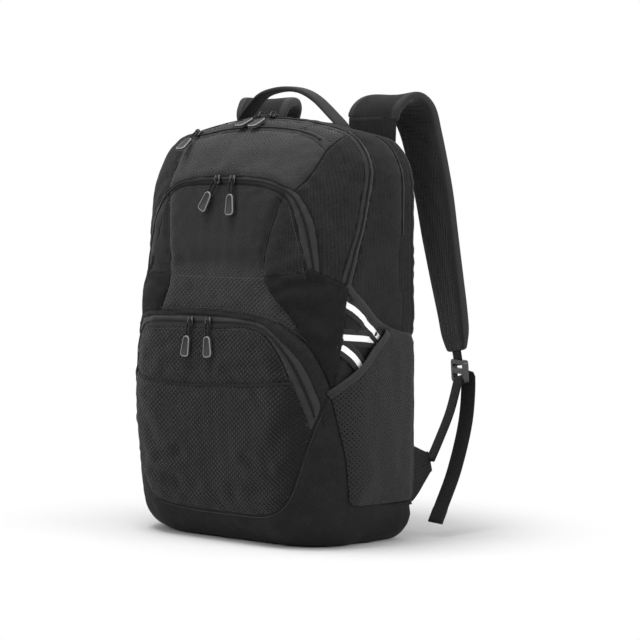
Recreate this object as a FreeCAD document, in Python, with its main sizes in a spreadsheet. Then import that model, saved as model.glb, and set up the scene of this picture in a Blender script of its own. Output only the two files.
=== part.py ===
"""School backpack, standing upright with every zip closed.

Frame: millimetres, +X to the viewer's right when looking at the front, front towards -Y,
+Z up, origin at the middle of the flat base.
The bag is a shell of sewn panels.  The lid (front panel with the upper and top pockets)
tips forward at its lower seam, each front pocket flap tips forward at its own lower seam,
and zip sliders, pulls, carry handle, shoulder straps and strap tails all move.
"""
import FreeCAD, Part
import math
import os
import Sketcher
from FreeCAD import Placement, Rotation, Vector

SIZES = {
    # main outline, seen from the front
    "half_width": 150, "crown_apex": 486.3, "shoulder": 460, "base_round": 45,
    "top_round": 85, "crown_round": 420, "wall": 3,
    # stations from front to back
    "pocket_front": -92, "pocket_back": -52, "lid_front": -58, "upper_pocket_front": -72,
    "zip_foot": -44, "zip_knee": -5, "zip_top": -3, "knee_height": 390,
    "divider_front": 38, "laptop_front": 50, "laptop_zip_back": 58, "gusset_back": 70,
    "back_face": 76, "pad_back": 85,
    # heights
    "boot_top": 52, "flap_hinge": 129, "slip_edge": 184, "pocket_top": 283, "lid_bottom": 289,
    "laptop_zip_foot": 345, "divider_top": 400,
    # front pockets
    "front_round": 38, "flap_half_width": 118, "flap_top": 257, "flap_round": 62,
    "flap_thick": 4, "zip_width": 9, "upper_half_width": 114, "upper_bottom": 299,
    "upper_top": 410, "upper_round": 50, "panel_top": 440, "panel_half_width": 110,
    "zip_half": 6, "clearance": 0.4,
    # top pocket zip, a ridge that follows the crown
    "lid_round": 60, "top_zip_inset": 11, "top_zip_width": 6, "top_zip_front": -46,
    "top_zip_back": -42, "top_zip_half_length": 100,
    # back pads
    "pad_inner": 18, "pad_outer": 118, "pad_bottom": 60, "pad_top": 430, "pad_round": 30,
    # side pockets
    "pocket_gap": 9, "mesh_thick": 3, "binding_width": 8,
    # webbing and straps
    "webbing_width": 25, "webbing_thick": 2, "strap_width": 66, "strap_thick": 12,
    # carry handle
    "handle_depth": 41, "handle_foot": 482, "handle_top": 516, "handle_thick": 4,
    "handle_reach": 84, "handle_top_reach": 52, "handle_round": 45, "handle_lean": 2.4,
    "knot_width": 12, "knot_depth": 10, "knot_foot": 473.6, "knot_top": 477,
    # ladder lock
    "lock_half_length": 13, "lock_side": 5, "lock_round": 4, "lock_slot": 5, "lock_bar": 6,
    # zip slider and pull
    "slider_width": 8, "slider_length": 10, "slider_thick": 3.5, "bail_width": 2.4,
    "bail_reach": 3.9, "bail_wall": 1.4, "bail_space": 2.6, "cord": 1.6, "loop_half": 5,
    "loop_length": 18, "loop_round": 1.5, "loop_sink": 2, "grip_width": 10,
    "grip_length": 23, "grip_thick": 4, "grip_shoulder": 3, "grip_toe": 4,
}


class Size(float):
    """A length that remembers the sheet expression it comes from."""

    def __new__(cls, value, text):
        size = float.__new__(cls, value)
        size.text = text
        return size

    def __add__(self, other):
        return Size(float(self) + float(other), f"({self.text} + {text_of(other)})")

    def __radd__(self, other):
        return Size(float(other) + float(self), f"({text_of(other)} + {self.text})")

    def __sub__(self, other):
        return Size(float(self) - float(other), f"({self.text} - {text_of(other)})")

    def __rsub__(self, other):
        return Size(float(other) - float(self), f"({text_of(other)} - {self.text})")

    def __mul__(self, other):
        return Size(float(self) * float(other), f"({self.text} * {text_of(other)})")

    __rmul__ = __mul__

    def __truediv__(self, other):
        return Size(float(self) / float(other), f"({self.text} / {text_of(other)})")

    def __neg__(self):
        return Size(-float(self), f"(-1 * {self.text})")


def text_of(value):
    """The sheet expression of a Size, or a plain number as text."""
    return value.text if isinstance(value, Size) else f"{float(value):.6g}"


doc = FreeCAD.newDocument("Backpack")
sheet = doc.addObject("Spreadsheet::Sheet", "Sizes")
for row, (alias, value) in enumerate(SIZES.items(), 1):
    sheet.set(f"A{row}", alias)
    sheet.set(f"B{row}", str(value))
    sheet.setAlias(f"B{row}", alias)
doc.recompute()
PARTS = []


def dim(alias):
    """The named driving dimension."""
    return Size(SIZES[alias], f"Sizes.{alias}")


def bind(thing, target, value):
    """Drive one property of a feature from the sheet."""
    thing.setExpression(target, text_of(value))


# ---------------------------------------------------------------- sketches and features

def constrain_point(sketch, geometry, end, corner):
    """Hold one point of the sketch at the corner's two coordinates."""
    for kind, value in (("DistanceX", corner[0]), ("DistanceY", corner[1])):
        held = sketch.addConstraint(
            Sketcher.Constraint(kind, -1, 1, geometry, end, float(value)))
        bind(sketch, f"Constraints[{held}]", value)


def rounding(before, corner, after):
    """The tangent points, centre, radius and turn of one rounded corner."""
    point = Vector(float(corner[0]), float(corner[1]), 0)
    back = Vector(float(before[0]), float(before[1]), 0) - point
    ahead = Vector(float(after[0]), float(after[1]), 0) - point
    half_angle = back.getAngle(ahead) / 2
    back.normalize()
    ahead.normalize()
    radius = float(corner[2])
    reach = radius / math.tan(half_angle)
    middle = back + ahead
    middle.normalize()
    centre = point + middle * (radius / math.sin(half_angle))
    left_turn = ahead.cross(back).z > 0
    return point + back * reach, point + ahead * reach, centre, radius, left_turn


def draw_outline(sketch, corners):
    """Draw a closed outline; a corner is (a, b), or (a, b, radius) where it is rounded."""
    count = len(corners)
    rounds = {}
    for index, corner in enumerate(corners):
        if len(corner) == 3:
            after = corners[(index + 1) % count]
            rounds[index] = rounding(corners[index - 1], corner, after)
    lines = []
    for index, corner in enumerate(corners):
        after = (index + 1) % count
        start = rounds[index][1] if index in rounds else Vector(*map(float, corner[:2]), 0)
        finish = Vector(*map(float, corners[after][:2]), 0)
        if after in rounds:
            finish = rounds[after][0]
        lines.append(sketch.addGeometry(Part.LineSegment(start, finish)))
    for index, corner in enumerate(corners):
        line, last = lines[index], lines[index - 1]
        if index not in rounds:
            sketch.addConstraint(Sketcher.Constraint("Coincident", last, 2, line, 1))
            constrain_point(sketch, line, 1, corner)
            continue
        start, finish, centre, radius, left_turn = rounds[index]
        if not left_turn:
            start, finish = finish, start
        circle = Part.Circle(centre, Vector(0, 0, 1), radius)
        arc = sketch.addGeometry(Part.ArcOfCircle(
            circle,
            math.atan2(start.y - centre.y, start.x - centre.x),
            math.atan2(finish.y - centre.y, finish.x - centre.x)))
        apex = sketch.addGeometry(Part.Point(Vector(*map(float, corner[:2]), 0)), True)
        constrain_point(sketch, apex, 1, corner)
        sketch.addConstraint(Sketcher.Constraint("PointOnObject", apex, 1, last))
        sketch.addConstraint(Sketcher.Constraint("PointOnObject", apex, 1, line))
        first_end, second_end = (1, 2) if left_turn else (2, 1)
        sketch.addConstraint(Sketcher.Constraint("Tangent", last, 2, arc, first_end))
        sketch.addConstraint(Sketcher.Constraint("Tangent", line, 1, arc, second_end))
        held = sketch.addConstraint(Sketcher.Constraint("Radius", arc, radius))
        bind(sketch, f"Constraints[{held}]", corner[2])


def new_body(label):
    """Start one sub-part; its label is the name of its file."""
    body = doc.addObject("PartDesign::Body", label)
    body.Label = label
    PARTS.append(body)
    return body


def new_sketch(body, role, offset, outlines):
    """A sketch on one of the body's own origin planes, moved along the plane's normal."""
    sketch = body.newObject("Sketcher::SketchObject", f"{body.Name}_sketch")
    base_plane = next(item for item in body.Origin.OriginFeatures if item.Role == role)
    sketch.AttachmentSupport = (base_plane, "")
    sketch.MapMode = "FlatFace"
    bind(sketch, "AttachmentOffset.Base.z", offset)
    for corners in outlines:
        draw_outline(sketch, corners)
    return sketch


def add_feature(body, kind, sketch, length):
    """A pad or pocket from the sketch; length None goes through everything both ways."""
    feature = body.newObject(f"PartDesign::{kind}", f"{body.Name}_{kind.lower()}")
    feature.Profile = sketch
    if length is None:
        feature.Type = "ThroughAll"
        feature.SideType = "Symmetric"
    else:
        bind(feature, "Length", length)
    doc.recompute()
    return feature


def cut(body, role, offset, outlines, length=None):
    """Pocket the outlines and make sure that material went away."""
    before = body.Shape.Volume
    feature = add_feature(body, "Pocket", new_sketch(body, role, offset, outlines), length)
    if not body.Shape.Volume < before - 1:
        raise RuntimeError(f"{feature.Name} cuts nothing")
    return feature


def front_pad(body, outlines, front, back):
    """Fill outlines seen from the front, between two stations along Y."""
    sketch = new_sketch(body, "XZ_Plane", -back, outlines)
    return add_feature(body, "Pad", sketch, back - front)


def round_edges(body, radius, wanted):
    """Fillet the edges of the body's tip that the test picks."""
    tip = body.Tip
    names = [f"Edge{number}" for number, edge in enumerate(tip.Shape.Edges, 1) if wanted(edge)]
    fillet = body.newObject("PartDesign::Fillet", f"{body.Name}_fillet")
    fillet.Base = (tip, names)
    bind(fillet, "Radius", radius)
    doc.recompute()
    return fillet


def at_station(station):
    """A test for edges that lie in the plane y = station."""
    def lies_there(edge):
        box = edge.BoundBox
        return abs(box.YMin - float(station)) < 0.01 and abs(box.YMax - float(station)) < 0.01
    return lies_there


# ---------------------------------------------------------------- shared outlines

half, wall, gap = dim("half_width"), dim("wall"), dim("clearance")
FAR = 400
SIDES = (("left", -1), ("right", 1))


def bag_outline(inset=0):
    """The bag seen from the front: round base corners, round shoulders, arched crown."""
    side = half - inset
    base = dim("base_round") - inset
    top = dim("top_round") - inset
    crown = dim("crown_round") - inset
    shoulder = dim("shoulder") - inset
    return [(-side, inset, base), (side, inset, base), (side, shoulder, top),
            (0, dim("crown_apex") - inset, crown), (-side, shoulder, top)]


def pocket_outline(inset=0):
    """The lower pocket and base seen from the front."""
    side = half - inset
    base = dim("base_round") - inset
    top = dim("top_round") - inset
    height = dim("pocket_top") - inset
    return [(-side, inset, base), (side, inset, base), (side, height, top), (-side, height, top)]


def arch_outline(side, bottom, top, radius, inset=0):
    """A flat-topped arch, as the front pockets have."""
    return [(-side + inset, bottom), (side - inset, bottom),
            (side - inset, top - inset, radius - inset),
            (-side + inset, top - inset, radius - inset)]


def box_outline(low, high):
    """A rectangle from its low corner to its high corner."""
    return [low, (high[0], low[1]), high, (low[0], high[1])]


def above(height, low=-FAR, high=FAR):
    return box_outline((low, height), (high, 2 * FAR))


def below(height, low=-FAR, high=FAR):
    return box_outline((low, -FAR), (high, height))


def zip_line(shift):
    """The main zip seen from the side: steep above the knee, sloping below it."""
    return [(dim("zip_foot") + shift, dim("lid_bottom") - wall),
            (dim("zip_knee") + shift, dim("knee_height")),
            (dim("zip_top") + shift, 2 * FAR)]


def ahead_of_zip(shift):
    foot, knee, top = zip_line(shift)
    return [(-FAR, foot[1]), foot, knee, top, (-FAR, 2 * FAR)]


def behind_zip(shift):
    foot, knee, top = zip_line(shift)
    return [(FAR, foot[1]), (FAR, 2 * FAR), top, knee, foot]


def side_cut(body, *outlines):
    """Trim with outlines seen from the side, right through."""
    for corners in outlines:
        cut(body, "YZ_Plane", 0, [corners])


def ring(label, outline, front, back):
    """A band of the bag's wall between two stations."""
    body = new_body(label)
    front_pad(body, [outline(), outline(wall)], front, back)
    return body


def tray(label, outline, front, back, radius):
    """A rounded shell, closed at the front and open at the back."""
    body = new_body(label)
    front_pad(body, [outline()], front, back)
    cut(body, "XZ_Plane", -(front + wall), [outline(wall)], back - front)
    round_edges(body, radius - wall, at_station(front + wall))
    round_edges(body, radius, at_station(front))
    return body


def plate(label, outlines, front, back):
    """A flat panel between two stations."""
    body = new_body(label)
    front_pad(body, outlines, front, back)
    return body


# ---------------------------------------------------------------- main shell

def build_back():
    plate("back_panel", [bag_outline()], dim("gusset_back"), dim("back_face"))
    for label, side in (("back_pad_left", -1), ("back_pad_right", 1)):
        inner, outer = side * dim("pad_inner"), side * dim("pad_outer")
        low, high = dim("pad_bottom"), dim("pad_top")
        radius = dim("pad_round")
        corners = [(inner, low, radius), (outer, low, radius),
                   (outer, high, radius), (inner, high, radius)]
        body = plate(label, [corners], dim("back_face"), dim("pad_back"))
        round_edges(body, dim("flap_thick"), at_station(dim("pad_back")))
    laptop = ring("laptop_gusset", bag_outline, dim("laptop_front"), dim("gusset_back"))
    side_cut(laptop, above(dim("laptop_zip_foot"), high=dim("laptop_zip_back")))
    laptop_zip = ring("laptop_zip", bag_outline, dim("laptop_front"), dim("laptop_zip_back"))
    side_cut(laptop_zip, below(dim("laptop_zip_foot")))
    divider = plate("laptop_divider", [bag_outline(wall)], dim("divider_front"),
                    dim("divider_front") + dim("flap_thick"))
    side_cut(divider, above(dim("divider_top")))


def build_shell():
    rear = ring("rear_gusset", bag_outline, dim("pocket_back"), dim("laptop_front"))
    side_cut(rear, ahead_of_zip(dim("zip_half")), below(dim("boot_top")))
    zip_rear = ring("main_zip_rear", bag_outline, dim("pocket_back"), dim("laptop_front"))
    side_cut(zip_rear, ahead_of_zip(0), behind_zip(dim("zip_half")),
             below(dim("lid_bottom") - wall))
    boot = tray("base_boot", pocket_outline, dim("pocket_front"), dim("laptop_front"),
                dim("front_round"))
    side_cut(boot, above(dim("boot_top")))
    plate("inner_front_wall", [pocket_outline(wall)], dim("pocket_back"),
          dim("pocket_back") + wall)


def build_lid():
    front = dim("lid_front")
    window = box_outline((-dim("panel_half_width"), dim("upper_bottom")),
                         (dim("panel_half_width"), dim("panel_top")))
    for name, side in SIDES:
        gusset = tray(f"front_gusset_{name}", bag_outline, front, dim("laptop_front"),
                      dim("lid_round"))
        side_cut(gusset, below(dim("lid_bottom")), behind_zip(-dim("zip_half")))
        cut(gusset, "XZ_Plane", -front, [window], wall * 1.5)
        other_half = box_outline((min(0, -side * FAR), 0), (max(0, -side * FAR), 2 * FAR))
        cut(gusset, "XZ_Plane", 0, [other_half])
    zip_front = ring("main_zip_front", bag_outline, dim("pocket_back"), dim("laptop_front"))
    side_cut(zip_front, ahead_of_zip(-dim("zip_half")), behind_zip(-gap),
             below(dim("lid_bottom")))
    plate("upper_front_wall", [box_outline(window[0], (window[2][0], dim("upper_top")))],
          front, front + wall)
    plate("top_pocket_panel", [box_outline((window[0][0], dim("upper_top")), window[2])],
          front, front + wall)
    near = dim("top_zip_inset")
    top_zip = plate("top_pocket_zip", [bag_outline(near),
                                       bag_outline(near + dim("top_zip_width"))],
                    dim("top_zip_front"), dim("top_zip_back"))
    side_cut(top_zip, below(dim("panel_top")))
    reach = dim("top_zip_half_length")
    cut(top_zip, "XZ_Plane", -dim("top_zip_back"),
        [box_outline((reach, 0), (FAR, 2 * FAR)), box_outline((-FAR, 0), (-reach, 2 * FAR))])


# ---------------------------------------------------------------- front pockets

def build_lower_pocket():
    front, back = dim("pocket_front"), dim("pocket_back")
    side, top, radius = dim("flap_half_width"), dim("flap_top"), dim("flap_round")
    hinge, thick, tape = dim("flap_hinge"), dim("flap_thick"), dim("zip_width")
    gusset = tray("lower_pocket_gusset", pocket_outline, front, back, dim("front_round"))
    side_cut(gusset, below(dim("boot_top")))
    cut(gusset, "XZ_Plane", -(front + 2 * thick),
        [arch_outline(side, dim("boot_top") - wall, top, radius)])
    plate("lower_front_panel",
          [box_outline((-side, dim("boot_top")), (side, hinge - gap))], front, front + thick)
    plate("lower_pocket_zip",
          [arch_outline(side, hinge + gap, top, radius, gap),
           arch_outline(side, hinge + 2 * gap, top, radius, tape)], front, front + thick)
    flap = new_body("lower_pocket_flap")
    front_pad(flap, [arch_outline(side, hinge + 2 * gap, top, radius, tape)],
              front, front + thick)
    plate("slip_pocket_panel",
          [box_outline((-side + 2 * tape, hinge + wall), (side - 2 * tape, dim("slip_edge")))],
          front - wall, front - gap)


def build_upper_pocket():
    front, back = dim("upper_pocket_front"), dim("lid_front") - gap
    side, bottom = dim("upper_half_width"), dim("upper_bottom")
    top, radius = dim("upper_top"), dim("upper_round")
    tape, thick = dim("zip_width"), dim("flap_thick")
    body = new_body("upper_pocket_gusset")
    front_pad(body, [arch_outline(side, bottom, top, radius),
                     arch_outline(side, bottom + wall, top, radius, wall)], front, back)
    face = front - gap
    plate("upper_pocket_zip",
          [arch_outline(side, bottom + gap, top, radius),
           arch_outline(side, bottom + wall, top, radius, tape)], face - thick, face)
    plate("upper_pocket_flap",
          [arch_outline(side, bottom + wall, top, radius, tape)], face - thick, face)


# ---------------------------------------------------------------- side pockets

def side_pad(body, side, near, far, outlines):
    """Fill outlines seen from the side, between two distances from the middle."""
    sketch = new_sketch(body, "YZ_Plane", near if side > 0 else -far, outlines)
    return add_feature(body, "Pad", sketch, far - near)


def strip(start, finish, width):
    """The outline of a straight strip of the given width, seen from the side."""
    along = Vector(finish[0] - start[0], finish[1] - start[1], 0)
    along.normalize()
    across = Vector(-along.y, along.x, 0) * (float(width) / 2)
    return [(start[0] + across.x, start[1] + across.y), (start[0] - across.x, start[1] - across.y),
            (finish[0] - across.x, finish[1] - across.y),
            (finish[0] + across.x, finish[1] + across.y)]


# seen from the side: depth, then height
WEBBING_RUNS = (((-27, 262), (6, 239.5)), ((-36, 235.5), (-8, 233)), ((-38, 212), (-22, 199)))
BINDING_RUN = ((-26, 284), (68, 226))
WING_OUTLINE = [(-50, 184), (-46, 282), (-30, 288)]
ANCHOR_TIP = ((106, 73), (106, 97))
ANCHOR_ROOT = (40, 113)
MESH_FRONT = -46
MESH_MOUTH = ((67, 218), (14, 226), (-52, 176))


def build_mesh_pocket(name, side):
    """The bottle pocket: a shallow open-topped box of mesh on the side of the bag."""
    inside = half + dim("pocket_gap")
    floor = dim("boot_top") + gap
    front, back = MESH_FRONT, dim("gusset_back") - wall
    lip = MESH_MOUTH[-1][0] + wall
    mesh = new_body(f"side_pocket_mesh_{name}")
    side_pad(mesh, side, half + gap, inside + dim("mesh_thick"),
             [[(front, floor), (back, floor), *MESH_MOUTH]])
    before = mesh.Shape.Volume
    sketch = new_sketch(mesh, "YZ_Plane", half + gap if side > 0 else -inside, [[
        (front + wall, floor + wall), (back - wall, floor + wall),
        (back - wall, FAR), (lip, FAR)]])
    hollow = mesh.newObject("PartDesign::Pocket", f"{mesh.Name}_pocket")
    hollow.Profile = sketch
    hollow.Reversed = True
    bind(hollow, "Length", dim("pocket_gap") - gap)
    doc.recompute()
    if not mesh.Shape.Volume < before - 1:
        raise RuntimeError(f"{mesh.Name} is not hollow")


def build_side_trim():
    """The sewn pieces that repeat on both sides, each kind in one node."""
    skin = half + gap
    bindings = new_body("side_pocket_bindings")
    wings = new_body("wing_panels")
    webbings = new_body("side_webbings")
    for name, side in SIDES:
        side_pad(bindings, side, skin, half + wall,
                 [strip(*BINDING_RUN, dim("binding_width"))])
        side_pad(wings, side, skin, half + wall, [WING_OUTLINE])
        side_pad(webbings, side, skin, skin + dim("webbing_thick"),
                 [strip(*run, dim("webbing_width") / 2) for run in WEBBING_RUNS])
        anchor = new_body(f"anchor_wing_{name}")
        root = dim("back_face") + gap
        side_pad(anchor, side, half - 2 * dim("webbing_thick"), half,
                 [[(root, ANCHOR_ROOT[0]), *ANCHOR_TIP, (root, ANCHOR_ROOT[1])]])


# ---------------------------------------------------------------- straps

def band(label, stations, width, thick):
    """Loft a flat band; a station is its centre, its run and the direction of its width."""
    body = new_body(label)
    sections = []
    for centre, run, across in stations:
        corners = box_outline((-width / 2, -thick / 2), (width / 2, thick / 2))
        sketch = new_sketch(body, "XY_Plane", 0, [corners])
        sketch.setExpression("AttachmentOffset.Base.z", None)
        turn = Rotation(Vector(*across), Vector(), Vector(*run), "ZXY")
        sketch.AttachmentOffset = Placement(Vector(*centre), turn)
        sections.append(sketch)
    loft = body.newObject("PartDesign::AdditiveLoft", f"{label}_loft")
    loft.Profile = sections[0]
    loft.Sections = sections[1:]
    loft.Ruled = True
    doc.recompute()
    return body


# centre, direction of travel and direction of the width, for the strap on the right
STRAP_STATIONS = (
    ((88, 81, 484), (0.06, 0.10, 1), (1, 0, 0)),
    ((90, 85, 497), (0.12, 0.70, 0.72), (1, 0, 0)),
    ((97, 103, 507), (0.35, 0.94, 0), (1, -0.1, 0)),
    ((106, 121, 498), (0.40, 0.62, -0.70), (1, -0.1, 0)),
    ((114, 128, 475), (0.28, 0.25, -0.93), (1, -0.12, 0)),
    ((126, 139, 400), (0.15, 0.12, -0.98), (1, -0.2, 0)),
    ((141, 148, 300), (0.15, 0.06, -0.99), (1, -0.35, 0)),
    ((156, 150, 208), (0.16, -0.02, -0.99), (1, -0.5, 0)),
)
TAB_STATIONS = (
    ((156.1, 150, 207.6), (0.16, -0.02, -0.99), (1, -0.5, 0)),
    ((156.8, 150, 203.4), (0.16, -0.02, -0.99), (1, -0.5, 0)),
)
WEBBING_STATIONS = (
    ((160, 146, 174), (-0.05, -0.30, -0.95), (1, -0.5, 0)),
    ((158, 134, 140), (-0.06, -0.40, -0.9), (1, -0.5, 0)),
    ((152, 109, 88), (-0.10, -0.44, -0.9), (1, -0.5, 0)),
)
TAIL_STATIONS = (
    ((164, 161.5, 186), (0.02, 0, -1), (1, -0.1, 0)),
    ((165, 155, 130), (-0.02, -0.22, -0.97), (1, -0.1, 0)),
    ((164, 136, 75), (-0.03, -0.42, -0.9), (1, -0.1, 0)),
    ((160, 105, 15), (-0.05, -0.5, -0.86), (1, -0.1, 0)),
)
LOCK_CENTRE = (159.5, 151, 188)
LOCK_ACROSS = (1, -0.5, 0)
LOCK_UP = (-0.16, 0.02, 0.99)
ANCHOR_SPAN = (452, 479)


def on_side(stations, side):
    """The stations of the strap on the left (-1) or right (1), with the width to the right."""
    return [((side * centre[0], *centre[1:]), (side * run[0], *run[1:]),
             (across[0], side * across[1], across[2]))
            for centre, run, across in stations]


def ladder_lock(label, side):
    """A moulded frame with two slots for the webbing."""
    body = new_body(label)
    thick = 3 * dim("webbing_thick")
    space = dim("webbing_width") / 2 + gap
    wide, tall, radius = space + dim("lock_side"), dim("lock_half_length"), dim("lock_round")
    frame = [(-wide, -tall, radius), (wide, -tall, radius),
             (wide, tall, radius), (-wide, tall, radius)]
    near = dim("lock_bar") / 2
    reach = near + dim("lock_slot")
    slots = [box_outline((-space, -reach), (space, -near)),
             box_outline((-space, near), (space, reach))]
    add_feature(body, "Pad", new_sketch(body, "XY_Plane", -thick / 2, [frame] + slots), thick)
    turn = Rotation(Vector(LOCK_ACROSS[0], side * LOCK_ACROSS[1], 0),
                    Vector(side * LOCK_UP[0], *LOCK_UP[1:]), Vector(), "XYZ")
    body.Placement = Placement(Vector(side * LOCK_CENTRE[0], *LOCK_CENTRE[1:]), turn)
    return body


def build_strap(name, side):
    width, thick = dim("webbing_width"), dim("webbing_thick")
    band(f"strap_pad_{name}", on_side(STRAP_STATIONS, side), dim("strap_width"),
         dim("strap_thick"))
    band(f"strap_tab_{name}", on_side(TAB_STATIONS, side), width, thick)
    ladder_lock(f"ladder_lock_{name}", side)
    band(f"lower_webbing_{name}", on_side(WEBBING_STATIONS, side), width, thick)
    band(f"webbing_tail_{name}", on_side(TAIL_STATIONS, side), width, thick)


def handle_outline(inset, lean, thick):
    """Half of the handle's section seen from the front: feet apart, top drawn together."""
    reach, near = dim("handle_reach") - inset, dim("handle_top_reach") - lean
    foot, top, radius = dim("handle_foot"), dim("handle_top") - thick, dim("handle_round") - thick
    return [(-reach, foot), (-near, top, radius), (near, top, radius), (reach, foot)]


def build_handle_and_anchors():
    """A loop of webbing across the top, and the sewn ends of the handle and both straps."""
    thick, lean = dim("handle_thick"), dim("handle_lean")
    outside = handle_outline(0, 0, 0)
    inside = handle_outline(thick + lean, lean, thick)
    depth, width = dim("handle_depth"), dim("webbing_width")
    body = new_body("carry_handle")
    front_pad(body, [inside + outside[::-1]], depth - width / 2, depth + width / 2)
    far = dim("handle_reach") + wall
    near = far - dim("knot_width")
    low, high = dim("knot_foot"), dim("knot_top")
    knots = [box_outline((near, low), (far, high)), box_outline((-far, low), (-near, high))]
    anchors = plate("sewn_anchors", knots,
                    depth - dim("knot_depth") / 2, depth + dim("knot_depth") / 2)
    reach = dim("strap_width") / 2
    middle = STRAP_STATIONS[0][0][0]
    low, high = ANCHOR_SPAN
    ends = [box_outline((side * middle - reach, low), (side * middle + reach, high))
            for _, side in SIDES]
    front_pad(anchors, ends, dim("back_face") + gap, dim("back_face") + 2 * wall)


# ---------------------------------------------------------------- zip sliders and pulls

# name, place of the slider's back face, and the turn that stands it on its zip
ON_FRONT = Rotation()
ON_SLOPE = Rotation(Vector(1, 0, 0), -45)
ON_TOP = Rotation(Vector(1, 0, 0), -90)
ON_LEFT_SIDE = Rotation(Vector(0, 0, 1), -90)
SLIDERS = (
    ("lower_left", (-36, -92.2, 251), ON_FRONT),
    ("lower_right", (-9, -92.2, 251), ON_FRONT),
    ("upper_left", (-14, -76.6, 404), ON_FRONT),
    ("upper_right", (10, -76.6, 404), ON_FRONT),
    ("top", (-88, -47, 459), ON_SLOPE),
    ("main_left", (-11, -3, 480.2), ON_TOP),
    ("main_right", (11, -3, 480.2), ON_TOP),
    ("laptop", (-150.2, 54, 352), ON_LEFT_SIDE),
)


def build_slider(name, place, turn):
    """A slider with its bail; built standing on a front face, then turned into place."""
    slider = new_body(f"zip_slider_{name}")
    wide, tall, thick = dim("slider_width") / 2, dim("slider_length") / 2, dim("slider_thick")
    reach, skin = dim("bail_reach"), dim("bail_wall")
    front_pad(slider, [box_outline((-wide, -tall), (wide, tall))], -thick, 0)
    round_edges(slider, skin, lambda edge: edge.BoundBox.YLength > float(thick) - 1)
    ridge = -thick - dim("bail_space")
    arch = [(-thick, -reach), (-thick, skin - reach), (ridge, skin - reach),
            (ridge, reach - skin), (-thick, reach - skin), (-thick, reach),
            (ridge - skin, reach, skin), (ridge - skin, -reach, skin)]
    bail_width = dim("bail_width")
    sketch = new_sketch(slider, "YZ_Plane", -bail_width / 2, [arch])
    add_feature(slider, "Pad", sketch, bail_width)
    slider.Placement = Placement(Vector(*place), turn)


def build_pull(name, place, turn):
    """A cord loop through the bail and the moulded grip that hangs from it."""
    pull = new_body(f"zip_pull_{name}")
    cord, loop, bend = dim("cord"), dim("loop_half"), dim("loop_round")
    hang, grip = dim("loop_length"), dim("grip_width") / 2
    centre = -dim("slider_thick") - dim("bail_space") / 2
    bottom = -hang - cord
    strands = [(-loop, bottom), (loop, bottom), (loop, cord / 2, bend), (-loop, cord / 2, bend)]
    space = box_outline((cord - loop, bottom + dim("loop_sink")), (loop - cord, -cord / 2))
    front_pad(pull, [strands, space], centre - cord / 2, centre + cord / 2)
    depth, end = dim("grip_thick") / 2, -hang - dim("grip_length")
    toe, shoulder = dim("grip_toe"), dim("grip_shoulder")
    handle = [(-grip, end, toe), (grip, end, toe), (grip, -hang, shoulder),
              (-grip, -hang, shoulder)]
    front_pad(pull, [handle], centre - depth, centre + depth)
    pull.Placement = Placement(Vector(*place), turn)


build_back()
build_shell()
build_lid()
build_lower_pocket()
build_upper_pocket()
build_side_trim()
for side_name, side_sign in SIDES:
    build_mesh_pocket(side_name, side_sign)
    build_strap(side_name, side_sign)
build_handle_and_anchors()
for slider_name, slider_place, slider_turn in SLIDERS:
    build_slider(slider_name, slider_place, slider_turn)
    build_pull(slider_name, slider_place, slider_turn)

# ---------------------------------------------------------------- check and write

doc.recompute()
for item in doc.Objects:
    if "Invalid" in item.State or "Error" in item.State:
        raise RuntimeError(f"{item.Label} failed: {item.State}")
faulty = [part.Label for part in PARTS
          if part.Shape.isNull() or not part.Shape.isValid() or part.Shape.Volume <= 0]
if faulty:
    raise RuntimeError(f"no valid shape: {faulty}")
os.makedirs("parts", exist_ok=True)
for part in PARTS:
    part.Shape.exportStep(f"parts/{part.Label}.step")
    print(f"{part.Label}: {len(part.Shape.Solids)} solid(s), {part.Shape.Volume / 1000:.1f} cm3")
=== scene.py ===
"""A school backpack: sewn panels over one soft form, zips, webbing, mesh pockets, padded straps."""
import math

import bmesh
import bpy
import numpy as np
from mathutils import Matrix, Vector
from mathutils.kdtree import KDTree


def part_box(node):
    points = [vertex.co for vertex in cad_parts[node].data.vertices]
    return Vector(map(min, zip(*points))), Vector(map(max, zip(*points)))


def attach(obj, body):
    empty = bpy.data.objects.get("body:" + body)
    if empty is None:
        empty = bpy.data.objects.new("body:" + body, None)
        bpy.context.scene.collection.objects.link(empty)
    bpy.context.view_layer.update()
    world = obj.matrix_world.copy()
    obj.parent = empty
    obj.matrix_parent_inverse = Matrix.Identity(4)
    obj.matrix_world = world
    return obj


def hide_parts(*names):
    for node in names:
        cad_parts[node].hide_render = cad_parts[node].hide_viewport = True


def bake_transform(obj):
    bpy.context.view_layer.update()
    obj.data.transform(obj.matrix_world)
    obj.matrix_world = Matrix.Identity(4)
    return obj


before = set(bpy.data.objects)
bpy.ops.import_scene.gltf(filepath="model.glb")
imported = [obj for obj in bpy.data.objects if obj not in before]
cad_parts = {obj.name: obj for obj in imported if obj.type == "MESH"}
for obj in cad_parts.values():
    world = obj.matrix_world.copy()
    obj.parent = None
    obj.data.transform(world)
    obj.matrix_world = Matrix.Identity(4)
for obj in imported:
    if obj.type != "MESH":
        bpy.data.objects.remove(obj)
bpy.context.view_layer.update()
scene = bpy.context.scene
MM = 0.001


def lengths(corner):
    """A corner of a CAD box in millimetres."""
    return [value / MM for value in corner]


def in_scene(name, data):
    obj = bpy.data.objects.new(name, data)
    scene.collection.objects.link(obj)
    return obj


def mesh_from(bm, name):
    mesh = bpy.data.meshes.new(name)
    bm.to_mesh(mesh)
    bm.free()
    return mesh


# ---- camera

eye = in_scene("camera", bpy.data.cameras.new("camera"))
eye.location = (1.882, -2.003, 0.401)
aim = Vector((0.078, 0, 0.25)) - eye.location
eye.rotation_euler = aim.to_track_quat("-Z", "Y").to_euler()
eye.data.lens = 134.4
scene.camera = eye


# ---- the sewn form, in millimetres

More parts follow.
